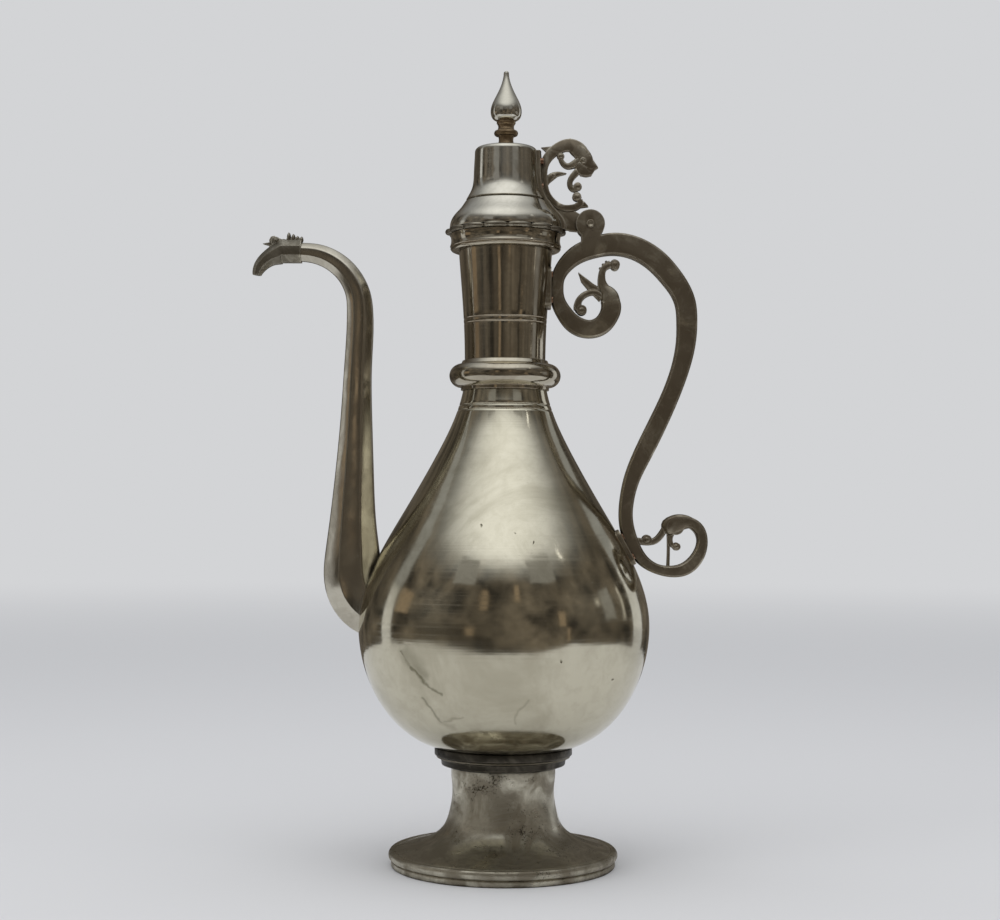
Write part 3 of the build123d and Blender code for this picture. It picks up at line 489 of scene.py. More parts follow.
# Creases: narrow folds darkened by painted shade, each along a line that wanders a little, seen from the
# front;
# the same marks give stains and specks of dirt
creases, crease_in, crease_mask = new_mask(
    "crease", Start=(0.0, 0.0, 0.0), Reach=(0.0, 0.0, 0.01), Breadth=0.001
)
crease_sway = 0.008
crease_noise = noise(creases, crease_in["Vector"], scale=70.0, detail=4.0, roughness=0.6)
crease_wander = vector_math(
    creases,
    "MULTIPLY_ADD",
    crease_noise.node.outputs["Color"],
    (crease_sway, crease_sway, crease_sway),
    (-crease_sway / 2, -crease_sway / 2, -crease_sway / 2),
)
from_start = vector_math(creases, "SUBTRACT", crease_in["Vector"], crease_in["Start"])
from_start = vector_math(creases, "ADD", from_start, crease_wander)
from_start = vector_math(creases, "MULTIPLY", from_start, (1.0, 0.0, 1.0))
along_reach = vector_math(creases, "DOT_PRODUCT", from_start, crease_in["Reach"])
reach_squared = vector_math(creases, "DOT_PRODUCT", crease_in["Reach"], crease_in["Reach"])
crease_share = arithmetic(creases, "DIVIDE", along_reach, reach_squared)
crease_share.node.use_clamp = True
nearest_point = vector_math(creases, "MULTIPLY", crease_in["Reach"], crease_share)
crease_offset = vector_math(creases, "LENGTH", vector_math(creases, "SUBTRACT", from_start, nearest_point))
crease_fade = between(creases, crease_offset, 0.0, crease_in["Breadth"])
put(creases, crease_mask, arithmetic(creases, "SUBTRACT", 1.0, crease_fade))

belly_tree = belly_finish.node_tree
belly_shader = belly_tree.nodes["Principled BSDF"]
belly_place = add_node(belly_tree, "TexCoord").outputs["Object"]
stains_and_crease_shade = 0.0
for start, end, breadth, strength in (
    # the long crease on the left, with its stain
    ((-60.3, 139.2), (-54.3, 129.9), 1.3, 0.5),
    ((-54.3, 129.9), (-46.4, 120.1), 1.8, 0.75),
    ((-46.4, 120.1), (-35.6, 113.0), 1.2, 0.6),
    ((-57.5, 138.0), (-50.5, 130.0), 7.0, 0.35),
    ((-52.0, 131.0), (-46.0, 123.5), 4.5, 0.4),
    # the forked crease below it
    ((-47.7, 110.9), (-36.3, 96.5), 1.4, 0.5),
    ((-36.3, 96.5), (-24.9, 100.4), 1.4, 0.3),
    ((-36.3, 96.5), (-30.0, 94.0), 4.0, 0.25),
    # the faint one at the middle
    ((6.8, 96.7), (7.9, 104.0), 1.2, 0.25),
    ((7.9, 104.0), (14.8, 111.1), 1.2, 0.25),
    # specks
    ((-14.4, 212.9), (-14.1, 212.6), 0.7, 0.7),
    ((17.4, 202.6), (17.3, 202.3), 0.8, 0.7),
    ((6.3, 208.9), (6.4, 208.7), 0.6, 0.6),
    ((34.0, 134.5), (34.2, 134.3), 0.9, 0.7),
    ((65.0, 121.3), (65.1, 121.0), 1.0, 0.7),
):
    crease = add_node(
        belly_tree,
        "Group",
        node_tree=creases,
        vector=belly_place,
        start=(start[0] * mm, 0, start[1] * mm),
        reach=((end[0] - start[0]) * mm, 0, (end[1] - start[1]) * mm),
        breadth=breadth * mm,
    )
    marked = arithmetic(belly_tree, "MULTIPLY", crease.outputs["Mask"], strength)
    stains_and_crease_shade = arithmetic(belly_tree, "MAXIMUM", stains_and_crease_shade, marked)
belly_depth = add_node(belly_tree, "SeparateXYZ", vector=belly_place).outputs["Y"]
belly_front = arithmetic(belly_tree, "LESS_THAN", belly_depth, 0.0)
stains_and_crease_shade = arithmetic(belly_tree, "MULTIPLY", stains_and_crease_shade, belly_front)
# The marks darken the colour: stains and specks of dirt, and painted shade along the creases
clean_colour = belly_shader.inputs["Base Color"].links[0].from_socket
stained_and_shaded_colour = blend_colour(belly_tree, stains_and_crease_shade, clean_colour, (0.12, 0.11, 0.06))
put(belly_tree, belly_shader.inputs["Base Color"], stained_and_shaded_colour)
belly_fold = add_node(belly_tree, "Bump", strength=1.0, distance=0.001)
put(belly_tree, belly_fold.inputs["Height"], arithmetic(belly_tree, "MULTIPLY", stains_and_crease_shade, -0.3))
put(belly_tree, belly_fold.inputs["Normal"], belly_shader.inputs["Normal"].links[0].from_socket)
put(belly_tree, belly_shader.inputs["Normal"], belly_fold.outputs["Normal"])

# Neck collar. A full round moulding between two thin fillets, slid over the joint of belly and neck.
# It is tinned like the belly and rubbed bright by the hand that steadies the ewer.
neck_finish = aged_metal(
    "polished tin of the neck",
    bright=(0.57, 0.525, 0.42),
    dull=(0.40, 0.355, 0.275),
    dark=(0.04, 0.032, 0.024),
    bare_and_highlight=(0.48, 0.38, 0.26),
    tarnish=0.5,
    tarnish_scale=24.0,
    roughness=(0.07, 0.16),
    pitted=0.18,
    hammered=0.2,
)
ring_low = body_top - 5.0
ring_high = body_top + 9.0
ring_radius = 35.0
fillet_radius = 27.8
ring_outline = [
    (fillet_radius, ring_low),
    (fillet_radius, ring_low - 2.4),
    (throat_radius - 0.6, ring_low - 2.4),
    (throat_radius - 0.6, ring_high + 2.4),
    (fillet_radius - 1.0, ring_high + 2.4),
    (fillet_radius, ring_high),
]
ring_outline += arc_through(
    (ring_radius - 5.5, ring_high), (ring_radius, ring_low + 5.6), (ring_radius - 4.5, ring_low), steps=20
)
finished(turned(ring_outline), "neck_moulding", neck_finish, "vessel", "body_tin", "neck_collar")

# Neck. A tube that widens to the mouth, with a pair of lines cut round it below the handle's plate.
# Its tin is thin, so the copper warms its reflections.
mouth_radius = 30.2
mouth_height = 395.4
neck_lines = (339.0, 342.0)


def neck_line(inset):
    """Outline of the neck from its joint with the belly to the mouth, shrunk by inset."""
    return smooth_through(
        [
            (throat_radius - inset, body_top),
            (25.8 - inset, body_top + 28),
            (mouth_radius - inset, mouth_height),
        ],
        [(0.0, 1), None, (0.06, 1)],
        steps=14,
    )


neck_outline = engraved(neck_line(0), neck_lines) + neck_line(sheet)[::-1]
finished(turned(neck_outline, edge=0.15), "neck_tube", neck_finish, "vessel", "body_tin", "neck")

# Mouth moulding. A slightly hollow band over a thin lip, soldered round the top of the neck.
# The lid's lobed plate closes on it.
mouth_ring_radius = 35.2
band_foot = mouth_height - 7.6
mouth_outline = [
    (mouth_ring_radius, band_foot),
    (mouth_ring_radius - 0.9, band_foot - 0.5),
    (mouth_ring_radius - 0.2, band_foot - 1.3),
    (mouth_ring_radius - 1.2, band_foot - 2.6),
    (mouth_radius - 0.8, band_foot - 2.6),
    (mouth_radius - 0.2, mouth_height),
]
mouth_outline += arc_through(
    (mouth_ring_radius, mouth_height),
    (mouth_ring_radius - 0.8, (mouth_height + band_foot) / 2),
    (mouth_ring_radius, band_foot),
)[:-1]
finished(turned(mouth_outline), "mouth_band", neck_finish, "vessel", "body_tin", "mouth_ring")

# Spout. A sheet folded to eight sides and brazed, forged to a swan's neck and soldered into the belly.
# Its flats are a little uneven, and copper shows along them.
spout_finish = aged_metal(
    "thin tin of the spout",
    bright=(0.60, 0.565, 0.47),
    dull=(0.42, 0.385, 0.31),
    dark=(0.035, 0.027, 0.02),
    bare_and_highlight=(0.62, 0.42, 0.26),
    tarnish=0.5,
    tarnish_scale=30.0,
    roughness=(0.12, 0.22),
    pitted=0.2,
    grain=(90.0, 90.0, 30.0),
    edge_reach=1.5,
    hammered=0.4,
    pit_scale=900.0,
)
spout_x = -95.4
riser_bottom = 209.4
riser_top = 348.1
riser_lean = 3.6
bend_radius = 36.0
bend_x = spout_x + riser_lean - bend_radius
spout_end_z = riser_top + bend_radius
tube_width = 16.2
tube_swell = 13.4
tip_width = 11.7
spout_stations = [
    (spout_x + 30.0, riser_bottom - 53.5, 33.0),
    (spout_x + 19.5, riser_bottom - 52.0, 34.0),
    (spout_x + 8.0, riser_bottom - 46.0, 35.5),
    (spout_x + 1.2, riser_bottom - 33.5, 36.0),
    (spout_x, riser_bottom - 18.0, 34.0),
]
for i in range(5):
    share = i / 4
    spout_stations.append(
        (
            spout_x + riser_lean * share,
            riser_bottom + (riser_top - riser_bottom) * share,
            tube_width + tube_swell * (1 - share) ** 2,
        )
    )
for i in range(1, 7):
    angle = pi / 12 * i
    spout_stations.append(
        (
            bend_x + bend_radius * cos(angle),
            riser_top + bend_radius * sin(angle),
            tube_width - (tube_width - tip_width) * i / 6,
        )
    )
spout_stations.append((bend_x - 9.0, spout_end_z, tip_width))


def eight_sided(shape, stations):
    """Adds an open eight-sided tube through (x, height, width across flats) stations in the ewer's plane."""
    rings = []
    for i, (x, z, width) in enumerate(stations):
        before, after = stations[max(i - 1, 0)], stations[min(i + 1, len(stations) - 1)]
        heading = atan2(after[1] - before[1], after[0] - before[0])
        place = Matrix.Translation((x * mm, 0, z * mm)) @ Matrix.Rotation(pi / 2 - heading, 4, "Y")
        made = bmesh.ops.create_circle(
            shape,
            cap_ends=False,
            segments=8,
            radius=width / 2 / cos(pi / 8) * mm,
            matrix=place @ Matrix.Rotation(pi / 8, 4, "Z"),
        )
        rings.append([e for e in shape.edges if all(v in made["verts"] for v in e.verts)])
    for ring, following in zip(rings, rings[1:]):
        bmesh.ops.bridge_loops(shape, edges=ring + following)


spout_shape = bmesh.new()
spout_ways = [(-10.5, 1.5, 1.0)] + [None] * (len(spout_stations) - 2) + [(-1.0, 0.0, 0.0)]
eight_sided(spout_shape, smooth_through(spout_stations, spout_ways, steps=5))
bmesh.ops.recalc_face_normals(spout_shape, faces=spout_shape.faces)
soften(spout_shape, 0.9, angle=30, segments=3)
spout_piece = finished(
    spout_shape, "swan_neck_spout", spout_finish, "vessel", "spout_tin", "spout_tube", sharp=50
)
spout_wall = spout_piece.modifiers.new("wall", "SOLIDIFY")
spout_wall.thickness = 1.1 * mm
spout_wall.offset = -1.0

# Spout head. A small dragon cast in bronze: a socket that slips over the spout, a mane of spikes, a heavy
# brow, a nose horn and a long lip, open below, that throws the stream. Its high places are rubbed pale,
# and that pale colour is also a painted highlight.
head_finish = aged_metal(
    "pale bronze of the dragon",
    bright=(0.40, 0.37, 0.30),
    dull=(0.20, 0.18, 0.14),
    dark=(0.03, 0.023, 0.016),
    bare_and_highlight=(0.72, 0.68, 0.57),
    tarnish=0.52,
    tarnish_scale=90.0,
    roughness=(0.26, 0.42),
    pitted=0.2,
    pit_scale=900.0,
    grain=(60.0, 60.0, 60.0),
    edge_reach=1.2,
    hammered=0.5,
)


def copy_of(node):
    """A merged copy of a CAD node's mesh, its flat faces joined up again."""
    shape = bmesh.new()
    shape.from_mesh(bpy.data.objects[node].data)
    bmesh.ops.remove_doubles(shape, verts=shape.verts, dist=2e-6)
    bmesh.ops.dissolve_limit(
        shape, angle_limit=radians(0.5), use_dissolve_boundaries=False, verts=shape.verts, edges=shape.edges
    )
    return shape


def domed_boss(shape, x, z, radius, depth, stretch=1.0):
    """Adds a round boss with domed faces in the ewer's plane; a stretch above 1 makes it taller than wide."""
    bmesh.ops.create_uvsphere(
        shape,
        u_segments=24,
        v_segments=14,
        radius=1.0,
        matrix=Matrix.Translation((x * mm, 0, z * mm))
        @ Matrix.Diagonal((radius * mm, depth / 2 * mm, radius * stretch * mm, 1)),
    )


head_x = bend_x - 1.2
head_z = spout_end_z + 0.4
head_shape = copy_of("spout_head")
soften(head_shape, 0.35, angle=35)
for x, z, radius, depth, stretch in (
    # brow
    (-16.4, 6.5, 3.0, 8.6, 1.0),
    (-11.6, 6.0, 2.6, 7.0, 0.8),
    # spikes of the crest
    (0.0, 7.5, 1.1, 4.4, 1.8),
    (-2.6, 7.9, 1.2, 4.6, 1.7),
    (-5.2, 8.5, 1.3, 4.8, 2.0),
    (-8.1, 9.1, 1.3, 4.8, 2.3),
    # nose
    (-20.8, 4.9, 1.4, 3.8, 0.6),
):
    domed_boss(head_shape, head_x + x, head_z + z, radius, depth, stretch)
finished(head_shape, "dragon_head", head_finish, "vessel", "cast_bronze", "spout_head")

# Back plates. Two small plates, hammered to the neck and the belly, each held with four rivets.
# They carry the handle, and dirt and painted shade darken round their edges.
cast_finish = aged_metal(
    "worn bronze of the castings",
    bright=(0.48, 0.44, 0.345),
    dull=(0.215, 0.18, 0.13),
    dark=(0.028, 0.021, 0.015),
    bare_and_highlight=(0.70, 0.645, 0.53),
    tarnish=0.58,
    tarnish_scale=62.0,
    roughness=(0.26, 0.42),
    pitted=0.26,
    pit_scale=900.0,
    grain=(60.0, 60.0, 60.0),
    edge_reach=1.3,
    hammered=0.7,
)
plate_edge = 0.4


def rounded_copy(node, title, finish, body, slot, edge, **rounding):
    """Makes a piece from a copy of a CAD node, with its sharp edges rounded."""
    shape = copy_of(node)
    soften(shape, edge, **rounding)
    finished(shape, title, finish, body, slot, node)


for node, title in (("neck_plate", "upper_back_plate"), ("body_plate", "lower_back_plate")):
    rounded_copy(node, title, cast_finish, "vessel", "cast_bronze", plate_edge)

rivet_finish = aged_metal(
    "copper of the rivets",
    bright=(0.36, 0.20, 0.125),
    dull=(0.17, 0.095, 0.06),
    dark=(0.03, 0.018, 0.012),
    bare_and_highlight=(0.56, 0.36, 0.24),
    tarnish=0.5,
    tarnish_scale=90.0,
    roughness=(0.28, 0.45),
    pitted=0.1,
    edge_reach=0.6,
)
rivet_edge = 0.45
for node, title in (
    ("neck_plate_rivets", "upper_plate_rivets"),
    ("body_plate_rivets", "lower_plate_rivets"),
):
    rounded_copy(node, title, rivet_finish, "vessel", "rivet_copper", rivet_edge, segments=3)

# Handle. One flat casting in bronze, sawn and filed to a scroll with a volute at each end, tendrils,
# thorns and two ears that hold the hinge. Its edges are rounded, and their pale colour is wear and a
# painted highlight.
hinge_x = 53.4552
hinge_z = 402.4
cap_turns = (30, 55, 75, 88)
cap_depth = 0.35


def rounded_bar(shape, stations, steps=4, sides=16, squareness=0.42):
    """Adds a closed bar with rounded sides and ends through (x, z, width, depth) stations from the hinge."""
    first = [after - before for before, after in zip(stations[0], stations[1])]
    last = [after - before for before, after in zip(stations[-2], stations[-1])]
    path = smooth_through(stations, [first] + [None] * (len(stations) - 2) + [last], steps)
    caps = []
    for end, beyond in ((0, 1), (-1, -2)):
        x, z, width, depth = path[end]
        heading = Vector((x - path[beyond][0], z - path[beyond][1])).normalized()
        cap = []
        for turn in cap_turns:
            out = heading * width / 2 * sin(radians(turn))
            shrink = cos(radians(turn))
            thinned = depth * (cap_depth + (1 - cap_depth) * shrink)
            cap.append((x + out.x, z + out.y, width * shrink, thinned))
        caps.append(cap)
    path = caps[0][::-1] + path + caps[1]
    rings = []
    for i, (x, z, width, depth) in enumerate(path):
        before, after = path[max(i - 1, 0)], path[min(i + 1, len(path) - 1)]
        along = Vector((after[0] - before[0], after[1] - before[1])).normalized()
        ring = []
        for k in range(sides):
            across, up = cos(tau * k / sides), sin(tau * k / sides)
            u = width / 2 * abs(across) ** squareness * (1 if across > 0 else -1)
            v = depth / 2 * abs(up) ** squareness * (1 if up > 0 else -1)
            corner = Vector((hinge_x + x - u * along.y, v, hinge_z + z + u * along.x))
            ring.append(shape.verts.new(corner * mm))
        rings.append([shape.edges.new(pair) for pair in zip(ring, ring[1:] + ring[:1])])
    for ring, following in zip(rings, rings[1:]):
        bmesh.ops.bridge_loops(shape, edges=ring + following)
    for ring in (rings[0], rings[-1]):
        bmesh.ops.edgeloop_fill(shape, edges=ring)


handle_shape = copy_of("handle")
soften(handle_shape, 1.1, angle=35, segments=3)
for row in (
    # inner turn of the upper volute, from its foot to the tip of its tall tendril
    [
        (12.6, -56.6, 10.2, 9.6), (13.4, -52.9, 11.9, 10.2), (13.0, -49.1, 12.2, 10.3),
        (12.2, -45.6, 11.4, 9.9), (10.4, -42.4, 8.4, 9.0), (8.3, -39.6, 6.2, 8.0),
        (7.4, -35.6, 5.0, 7.2), (7.5, -31.0, 4.4, 6.8), (9.2, -27.4, 4.0, 6.6), (12.4, -25.6, 4.0, 6.6),
    ],
    # its curled tendril and its thorn
    [
        (9.6, -46.4, 4.0, 6.6), (2.5, -43.1, 3.8, 6.6), (-3.7, -44.9, 3.8, 6.6), (-7.4, -49.6, 4.4, 6.6),
        (-7.2, -54.0, 4.8, 6.6),
    ],
    [
        (5.6, -42.4, 5.2, 5.6), (1.4, -39.7, 4.4, 5.4), (-2.4, -36.2, 3.4, 5.2), (-5.2, -33.4, 2.2, 5.0),
        (-7.0, -31.2, 0.8, 4.8),
    ],
    # end of the lower volute, with its long and its short tendril
    [
        (65.0, -188.6, 6.4, 9.8), (62.0, -187.9, 8.2, 10.2), (58.6, -187.8, 10.0, 10.3),
        (54.4, -188.8, 11.6, 10.3), (51.2, -190.2, 11.8, 10.2),
    ],
    [
        (49.4, -189.0, 4.0, 6.6), (45.3, -195.5, 4.2, 6.6), (41.5, -199.4, 4.2, 6.6),
        (36.2, -200.5, 4.2, 6.6), (29.4, -199.6, 4.4, 6.4),
    ],
    [(52.8, -193.0, 3.6, 5.8), (50.9, -198.0, 3.0, 5.8), (51.7, -202.0, 3.0, 5.8), (54.4, -203.4, 3.2, 5.8)],
):
    rounded_bar(handle_shape, row)
for x, z, radius, depth, stretch in (
    # tips of the tendrils
    (15.5, -25.7, 3.2, 8.4, 1.2),
    (-5.4, -54.6, 3.4, 8.2, 1.0),
    (35.9, -199.0, 3.3, 8.2, 1.0),
    (54.5, -203.1, 2.6, 7.2, 1.0),
    # three beads beside the tall one
    (10.2, -23.6, 0.9, 5.0, 1.0),
    (8.2, -25.4, 0.9, 5.2, 1.0),
    (6.4, -27.8, 0.9, 5.4, 1.0),
):
    domed_boss(handle_shape, hinge_x + x, hinge_z + z, radius, depth, stretch)
finished(handle_shape, "scroll_handle", cast_finish, "vessel", "cast_bronze", "handle")

# Hinge pin. A short length of rod, its ends dished by the riveting punch.
# It has the same brown skin as the castings.
pin_reach = 6.0
pin_radius = 2.68
pin_outline = [
    (0, pin_reach - 1.0),
    (0.8, pin_reach - 0.8),
    (1.5, pin_reach - 0.1),
    (2.2, pin_reach),
    (pin_radius, pin_reach - 0.5),
]
pin_shape = turned(pin_outline + [(r, -z) for r, z in pin_outline[::-1]], edge=0.1, segments=48)
bmesh.ops.rotate(pin_shape, verts=pin_shape.verts, cent=(0, 0, 0), matrix=Matrix.Rotation(pi / 2, 3, "X"))
bmesh.ops.translate(pin_shape, verts=pin_shape.verts, vec=(hinge_x * mm, 0, hinge_z * mm))
finished(pin_shape, "riveted_pin", cast_finish, "vessel", "pin_metal", "hinge_pin")

# Lobed plate. A plate under the lid whose edge is filed to fourteen petals, each rounded over.
# The black between the petals is painted shade with some dirt.
petal_finish = aged_metal(
    "dull tin of the petals",
    bright=(0.36, 0.33, 0.26),
    dull=(0.15, 0.13, 0.10),
    dark=(0.018, 0.014, 0.01),
    bare_and_highlight=(0.52, 0.46, 0.35),
    tarnish=0.52,
    tarnish_scale=60.0,
    roughness=(0.25, 0.42),
    pitted=0.2,
    edge_reach=1.2,
)
rounded_copy("lobed_plate", "petalled_plate", petal_finish, "lid", "lid_tin", 1.0, angle=35, segments=3)

# Lid. A bell raised from one sheet: a flare, a small step and a drum with a flat top.
# It catches the most light and is the cleanest of the tin.
lid_finish = aged_metal(
    "polished tin of the lid",
    bright=(0.66, 0.63, 0.54),
    dull=(0.50, 0.475, 0.40),
    dark=(0.045, 0.038, 0.03),
    bare_and_highlight=(0.52, 0.45, 0.33),
    tarnish=0.48,
    tarnish_scale=28.0,
    roughness=(0.08, 0.18),
    pitted=0.16,
    pit_scale=900.0,
    hammered=0.25,
)
lid_bottom = 398.7
lid_height = 52.3
flare_radius = 35.4
step_rise = 17.8
step_radius = 25.6
drum_radius = 20.0
groove_depth = 1.3
corner = 3.0


def bell_line(inset):
    """Outline of the lid from its flare to its flat top, shrunk by inset."""
    flare = smooth_through(
        [
            (flare_radius - inset, lid_bottom),
            (flare_radius - 1.6 - inset, lid_bottom + 0.4 * step_rise),
            (step_radius + 2.9 - inset, lid_bottom + 0.76 * step_rise),
            (step_radius - inset, lid_bottom + step_rise),
        ],
        [(0.05, 1), None, None, (-0.55, 0.83)],
    )
    groove = [
        (step_radius - groove_depth - inset, lid_bottom + step_rise + 0.2),
        (step_radius - groove_depth - inset, lid_bottom + step_rise + 0.7),
    ]
    drum = smooth_through(
        [
            (step_radius - 0.5 - inset, lid_bottom + step_rise + 1.2),
            (drum_radius + 1.5 - inset, lid_bottom + 0.5 * lid_height),
            (drum_radius + 0.3 - inset, lid_bottom + 0.7 * lid_height),
            (drum_radius - 0.3 - inset, lid_bottom + lid_height - corner),
        ],
        [(-0.48, 0.88), None, None, (-0.03, 1)],
    )
    edge = drum_radius - 0.3 - inset
    top = lid_bottom + lid_height - inset
    shoulder = arc_through(
        (edge, top - corner + inset),
        (edge - (corner - inset) * (1 - cos(pi / 4)), top - (corner - inset) * (1 - sin(pi / 4))),
        (edge - corner + inset, top),
        6,
    )
    return flare + groove + drum + shoulder[1:] + [(0, top)]


bell_shape = turned(bell_line(0) + bell_line(sheet)[::-1], edge=0.25)
finished(bell_shape, "bell_lid", lid_finish, "lid", "lid_tin", "lid_shell")

# Lid strap. A forged strip riveted up the side of the lid, with the tongue that turns on the pin.
# Its rivets pass through the sheet of the lid.
rounded_copy("lid_strap", "hinge_strap", cast_finish, "lid", "cast_bronze", plate_edge, angle=35)
rounded_copy("strap_rivets", "strap_rivet_heads", rivet_finish, "lid", "rivet_copper", 0.4, segments=3)

# Thumb-piece. A pierced casting of a beast that bends back over its own curled mane and tongue.
# Its eyes are raised rings, punched in from both sides.
thumb_shape = copy_of("thumbpiece")
soften(thumb_shape, 0.7, angle=35)
for row in (
    # curl of the mane, tongue, leaf and thorn
    [
        (-19.6, 43.6, 2.8, 4.6), (-17.8, 39.4, 3.2, 4.6), (-15.0, 37.1, 3.6, 4.8), (-10.4, 38.3, 4.8, 5.2),
        (-6.6, 40.6, 6.0, 5.4),
    ],
    [
        (-8.0, 34.0, 4.4, 5.0), (-12.0, 29.4, 3.9, 4.6), (-13.0, 26.0, 3.6, 4.6), (-11.6, 23.0, 3.6, 4.6),
        (-8.8, 22.6, 3.6, 4.6),
    ],
    [(-28.2, 26.6, 4.6, 3.8), (-25.6, 30.0, 4.0, 3.8), (-21.0, 32.0, 3.2, 3.6), (-16.0, 32.3, 1.2, 3.2)],
    [(-8.4, 12.0, 3.8, 5.2), (-5.4, 13.4, 3.4, 4.4), (-2.0, 11.8, 1.2, 3.4)],
    # upper and lower jaw
    [
        (-9.8, 48.2, 8.4, 5.2), (-5.6, 44.9, 9.6, 5.6), (-2.6, 40.6, 9.2, 5.9), (0.2, 37.6, 6.2, 5.4),
        (2.8, 36.1, 2.8, 4.4),
    ],
    [(-6.8, 38.0, 8.0, 5.6), (-4.6, 34.4, 7.2, 5.4), (-2.0, 32.4, 4.6, 4.8), (-0.2, 32.0, 2.6, 4.4)],
):
    rounded_bar(thumb_shape, row)
for x, z, radius, depth, stretch in (
    # knobs under the tongue, on the mane's curl and on the leaf, and the pupil
    (-8.5, 17.4, 3.0, 6.6, 1.0),
    (-8.1, 24.0, 2.8, 6.6, 1.0),
    (-18.9, 43.4, 2.5, 6.2, 1.0),
    (-23.2, 31.2, 1.6, 5.0, 1.0),
    (-4.8, 40.4, 0.9, 7.4, 1.0),
):
    domed_boss(thumb_shape, hinge_x + x, hinge_z + z, radius, depth, stretch)
eye_ring = [(1.9, 2.4), (1.8, 3.2), (1.45, 3.5), (1.15, 3.2), (1.1, 2.4)]
eye_middle = Vector(((hinge_x - 4.8) * mm, 0, (hinge_z + 40.4) * mm))
for side in (-1, 1):
    turn = Matrix.Translation(eye_middle) @ Matrix.Rotation(side * pi / 2, 4, "X")
    ring = [thumb_shape.verts.new(turn @ Vector((across * mm, 0, rise * mm))) for across, rise in eye_ring]
    rim = [thumb_shape.edges.new(pair) for pair in zip(ring, ring[1:] + ring[:1])]
    bmesh.ops.spin(
        thumb_shape, geom=ring + rim, cent=eye_middle, axis=(0, 1, 0), angle=tau, steps=24, use_merge=True
    )
finished(thumb_shape, "beast_thumb_piece", cast_finish, "lid", "cast_bronze", "thumbpiece")

# Bezel and rove. A short collar under the lid, and the washer inside it on which the finial's rod is
# riveted. Neither shows with the lid shut.
for node, finish in (("lid_bezel", petal_finish), ("finial_rove", rivet_finish)):
    bpy.data.objects[node].material_slots[0].material = finish

# Finial. A rod through a turned foot, disc, spool and drop. The rod, disc and spool are bare copper gone
# brown, and the drop is tinned.
brown_finish = aged_metal(
    "brown copper of the finial",
    bright=(0.34, 0.25, 0.15),
    dull=(0.17, 0.12, 0.07),
    dark=(0.022, 0.014, 0.01),
    bare_and_highlight=(0.55, 0.43, 0.28),
    tarnish=0.55,
    tarnish_scale=80.0,
    roughness=(0.26, 0.42),
    pitted=0.15,
    edge_reach=0.8,
)
for node, title, finish in (
    ("finial_spindle", "finial_rod", brown_finish),
    ("finial_disc", "finial_ring", brown_finish),
    ("finial_spool", "finial_reel", brown_finish),
    ("finial_drop", "finial_bud", lid_finish),
):
    rounded_copy(node, title, finish, "lid", "finial_copper", 0.3, angle=30)

# Stage. A pale floor that fades into a pale room, a broad soft lamp above and a softer one at each side.
# Dark cards stand round the ewer, with gaps and small bright panels between them, under a soft ceiling
# light. Only polished metal shows these, as a highlight, a dark band and a few streaks of light.
floor_radius = 5.0
ceiling_radius = 4.5
ceiling_height = 1.9
ceiling_bright = 1.2
ceiling_dim = 0.35
ring_distance = 0.86
front_distance = 0.5
eye_height = 0.2
ring_low = -0.4
ring_fade = 0.6
ring_high = 1.3
room_strength = 0.8
backdrop_strength = 0.7


def fade_out(tree, surface, mask):
    """Shows a surface where a mask is 0 and nothing where it is 1."""
    fade = add_node(tree, "MixShader")
    nothing = add_node(tree, "BsdfTransparent").outputs[0]
    for socket, value in zip(fade.inputs, (mask, surface, nothing)):
        put(tree, socket, value)
    put(tree, tree.nodes["Material Output"].inputs["Surface"], fade.outputs[0])


floor_finish = bpy.data.materials.new("pale floor")
floor_finish.use_nodes = True
floor_tree = floor_finish.node_tree
floor_shader = floor_tree.nodes["Principled BSDF"]
for socket, value in (("Base Color", (0.62, 0.625, 0.64)), ("Roughness", 1.0), ("Specular IOR Level", 0.0)):
    put(floor_tree, floor_shader.inputs[socket], value)
floor_reach = vector_math(floor_tree, "LENGTH", add_node(floor_tree, "TexCoord").outputs["Object"])
fade_out(floor_tree, floor_shader.outputs[0], between(floor_tree, floor_reach, 0.7, 4.5))
floor_shape = bmesh.new()
bmesh.ops.create_circle(floor_shape, cap_ends=True, segments=96, radius=floor_radius)
object_of(floor_shape, "floor", floor_finish)


def stage_glow(name, colour=None, strength=None):
    """A material that only glows."""
    glowing = bpy.data.materials.new(name)
    glowing.use_nodes = True
    tree = glowing.node_tree
    tree.nodes.remove(tree.nodes["Principled BSDF"])
    glow = add_node(tree, "Emission")
    put(tree, glow.inputs["Color"], colour)
    put(tree, glow.inputs["Strength"], strength)
    put(tree, tree.nodes["Material Output"].inputs["Surface"], glow.outputs[0])
    return glowing


def mirrored_only(name, shape, finish):
    """Puts a shape on the stage that shows in polished metal and nowhere else."""
    card = object_of(shape, name, finish)
    card.visible_camera = False
    card.visible_diffuse = False
    card.visible_shadow = False
    card.visible_transmission = False


def standing_card(name, start, end, low, high, finish, nearer=1.0):
    """A card bent round the ewer from one azimuth to another, between two slopes as seen from the belly."""
    shape = bmesh.new()
    steps = max(2, round((end - start) / 3))
    sides = []
    for slope in (low, high):
        corners = []
        for i in range(steps + 1):
            turn = radians(start + (end - start) * i / steps)
            reach = ring_distance
            if cos(turn) > 0:
                reach = min(ring_distance, front_distance / cos(turn))
            reach *= nearer
            height = max(0.002, eye_height + reach * slope)
            corners.append(shape.verts.new((reach * sin(turn), -reach * cos(turn), height)))
        sides += [shape.edges.new(pair) for pair in zip(corners, corners[1:])]
    bmesh.ops.bridge_loops(shape, edges=sides)
    mirrored_only(name, shape, finish)


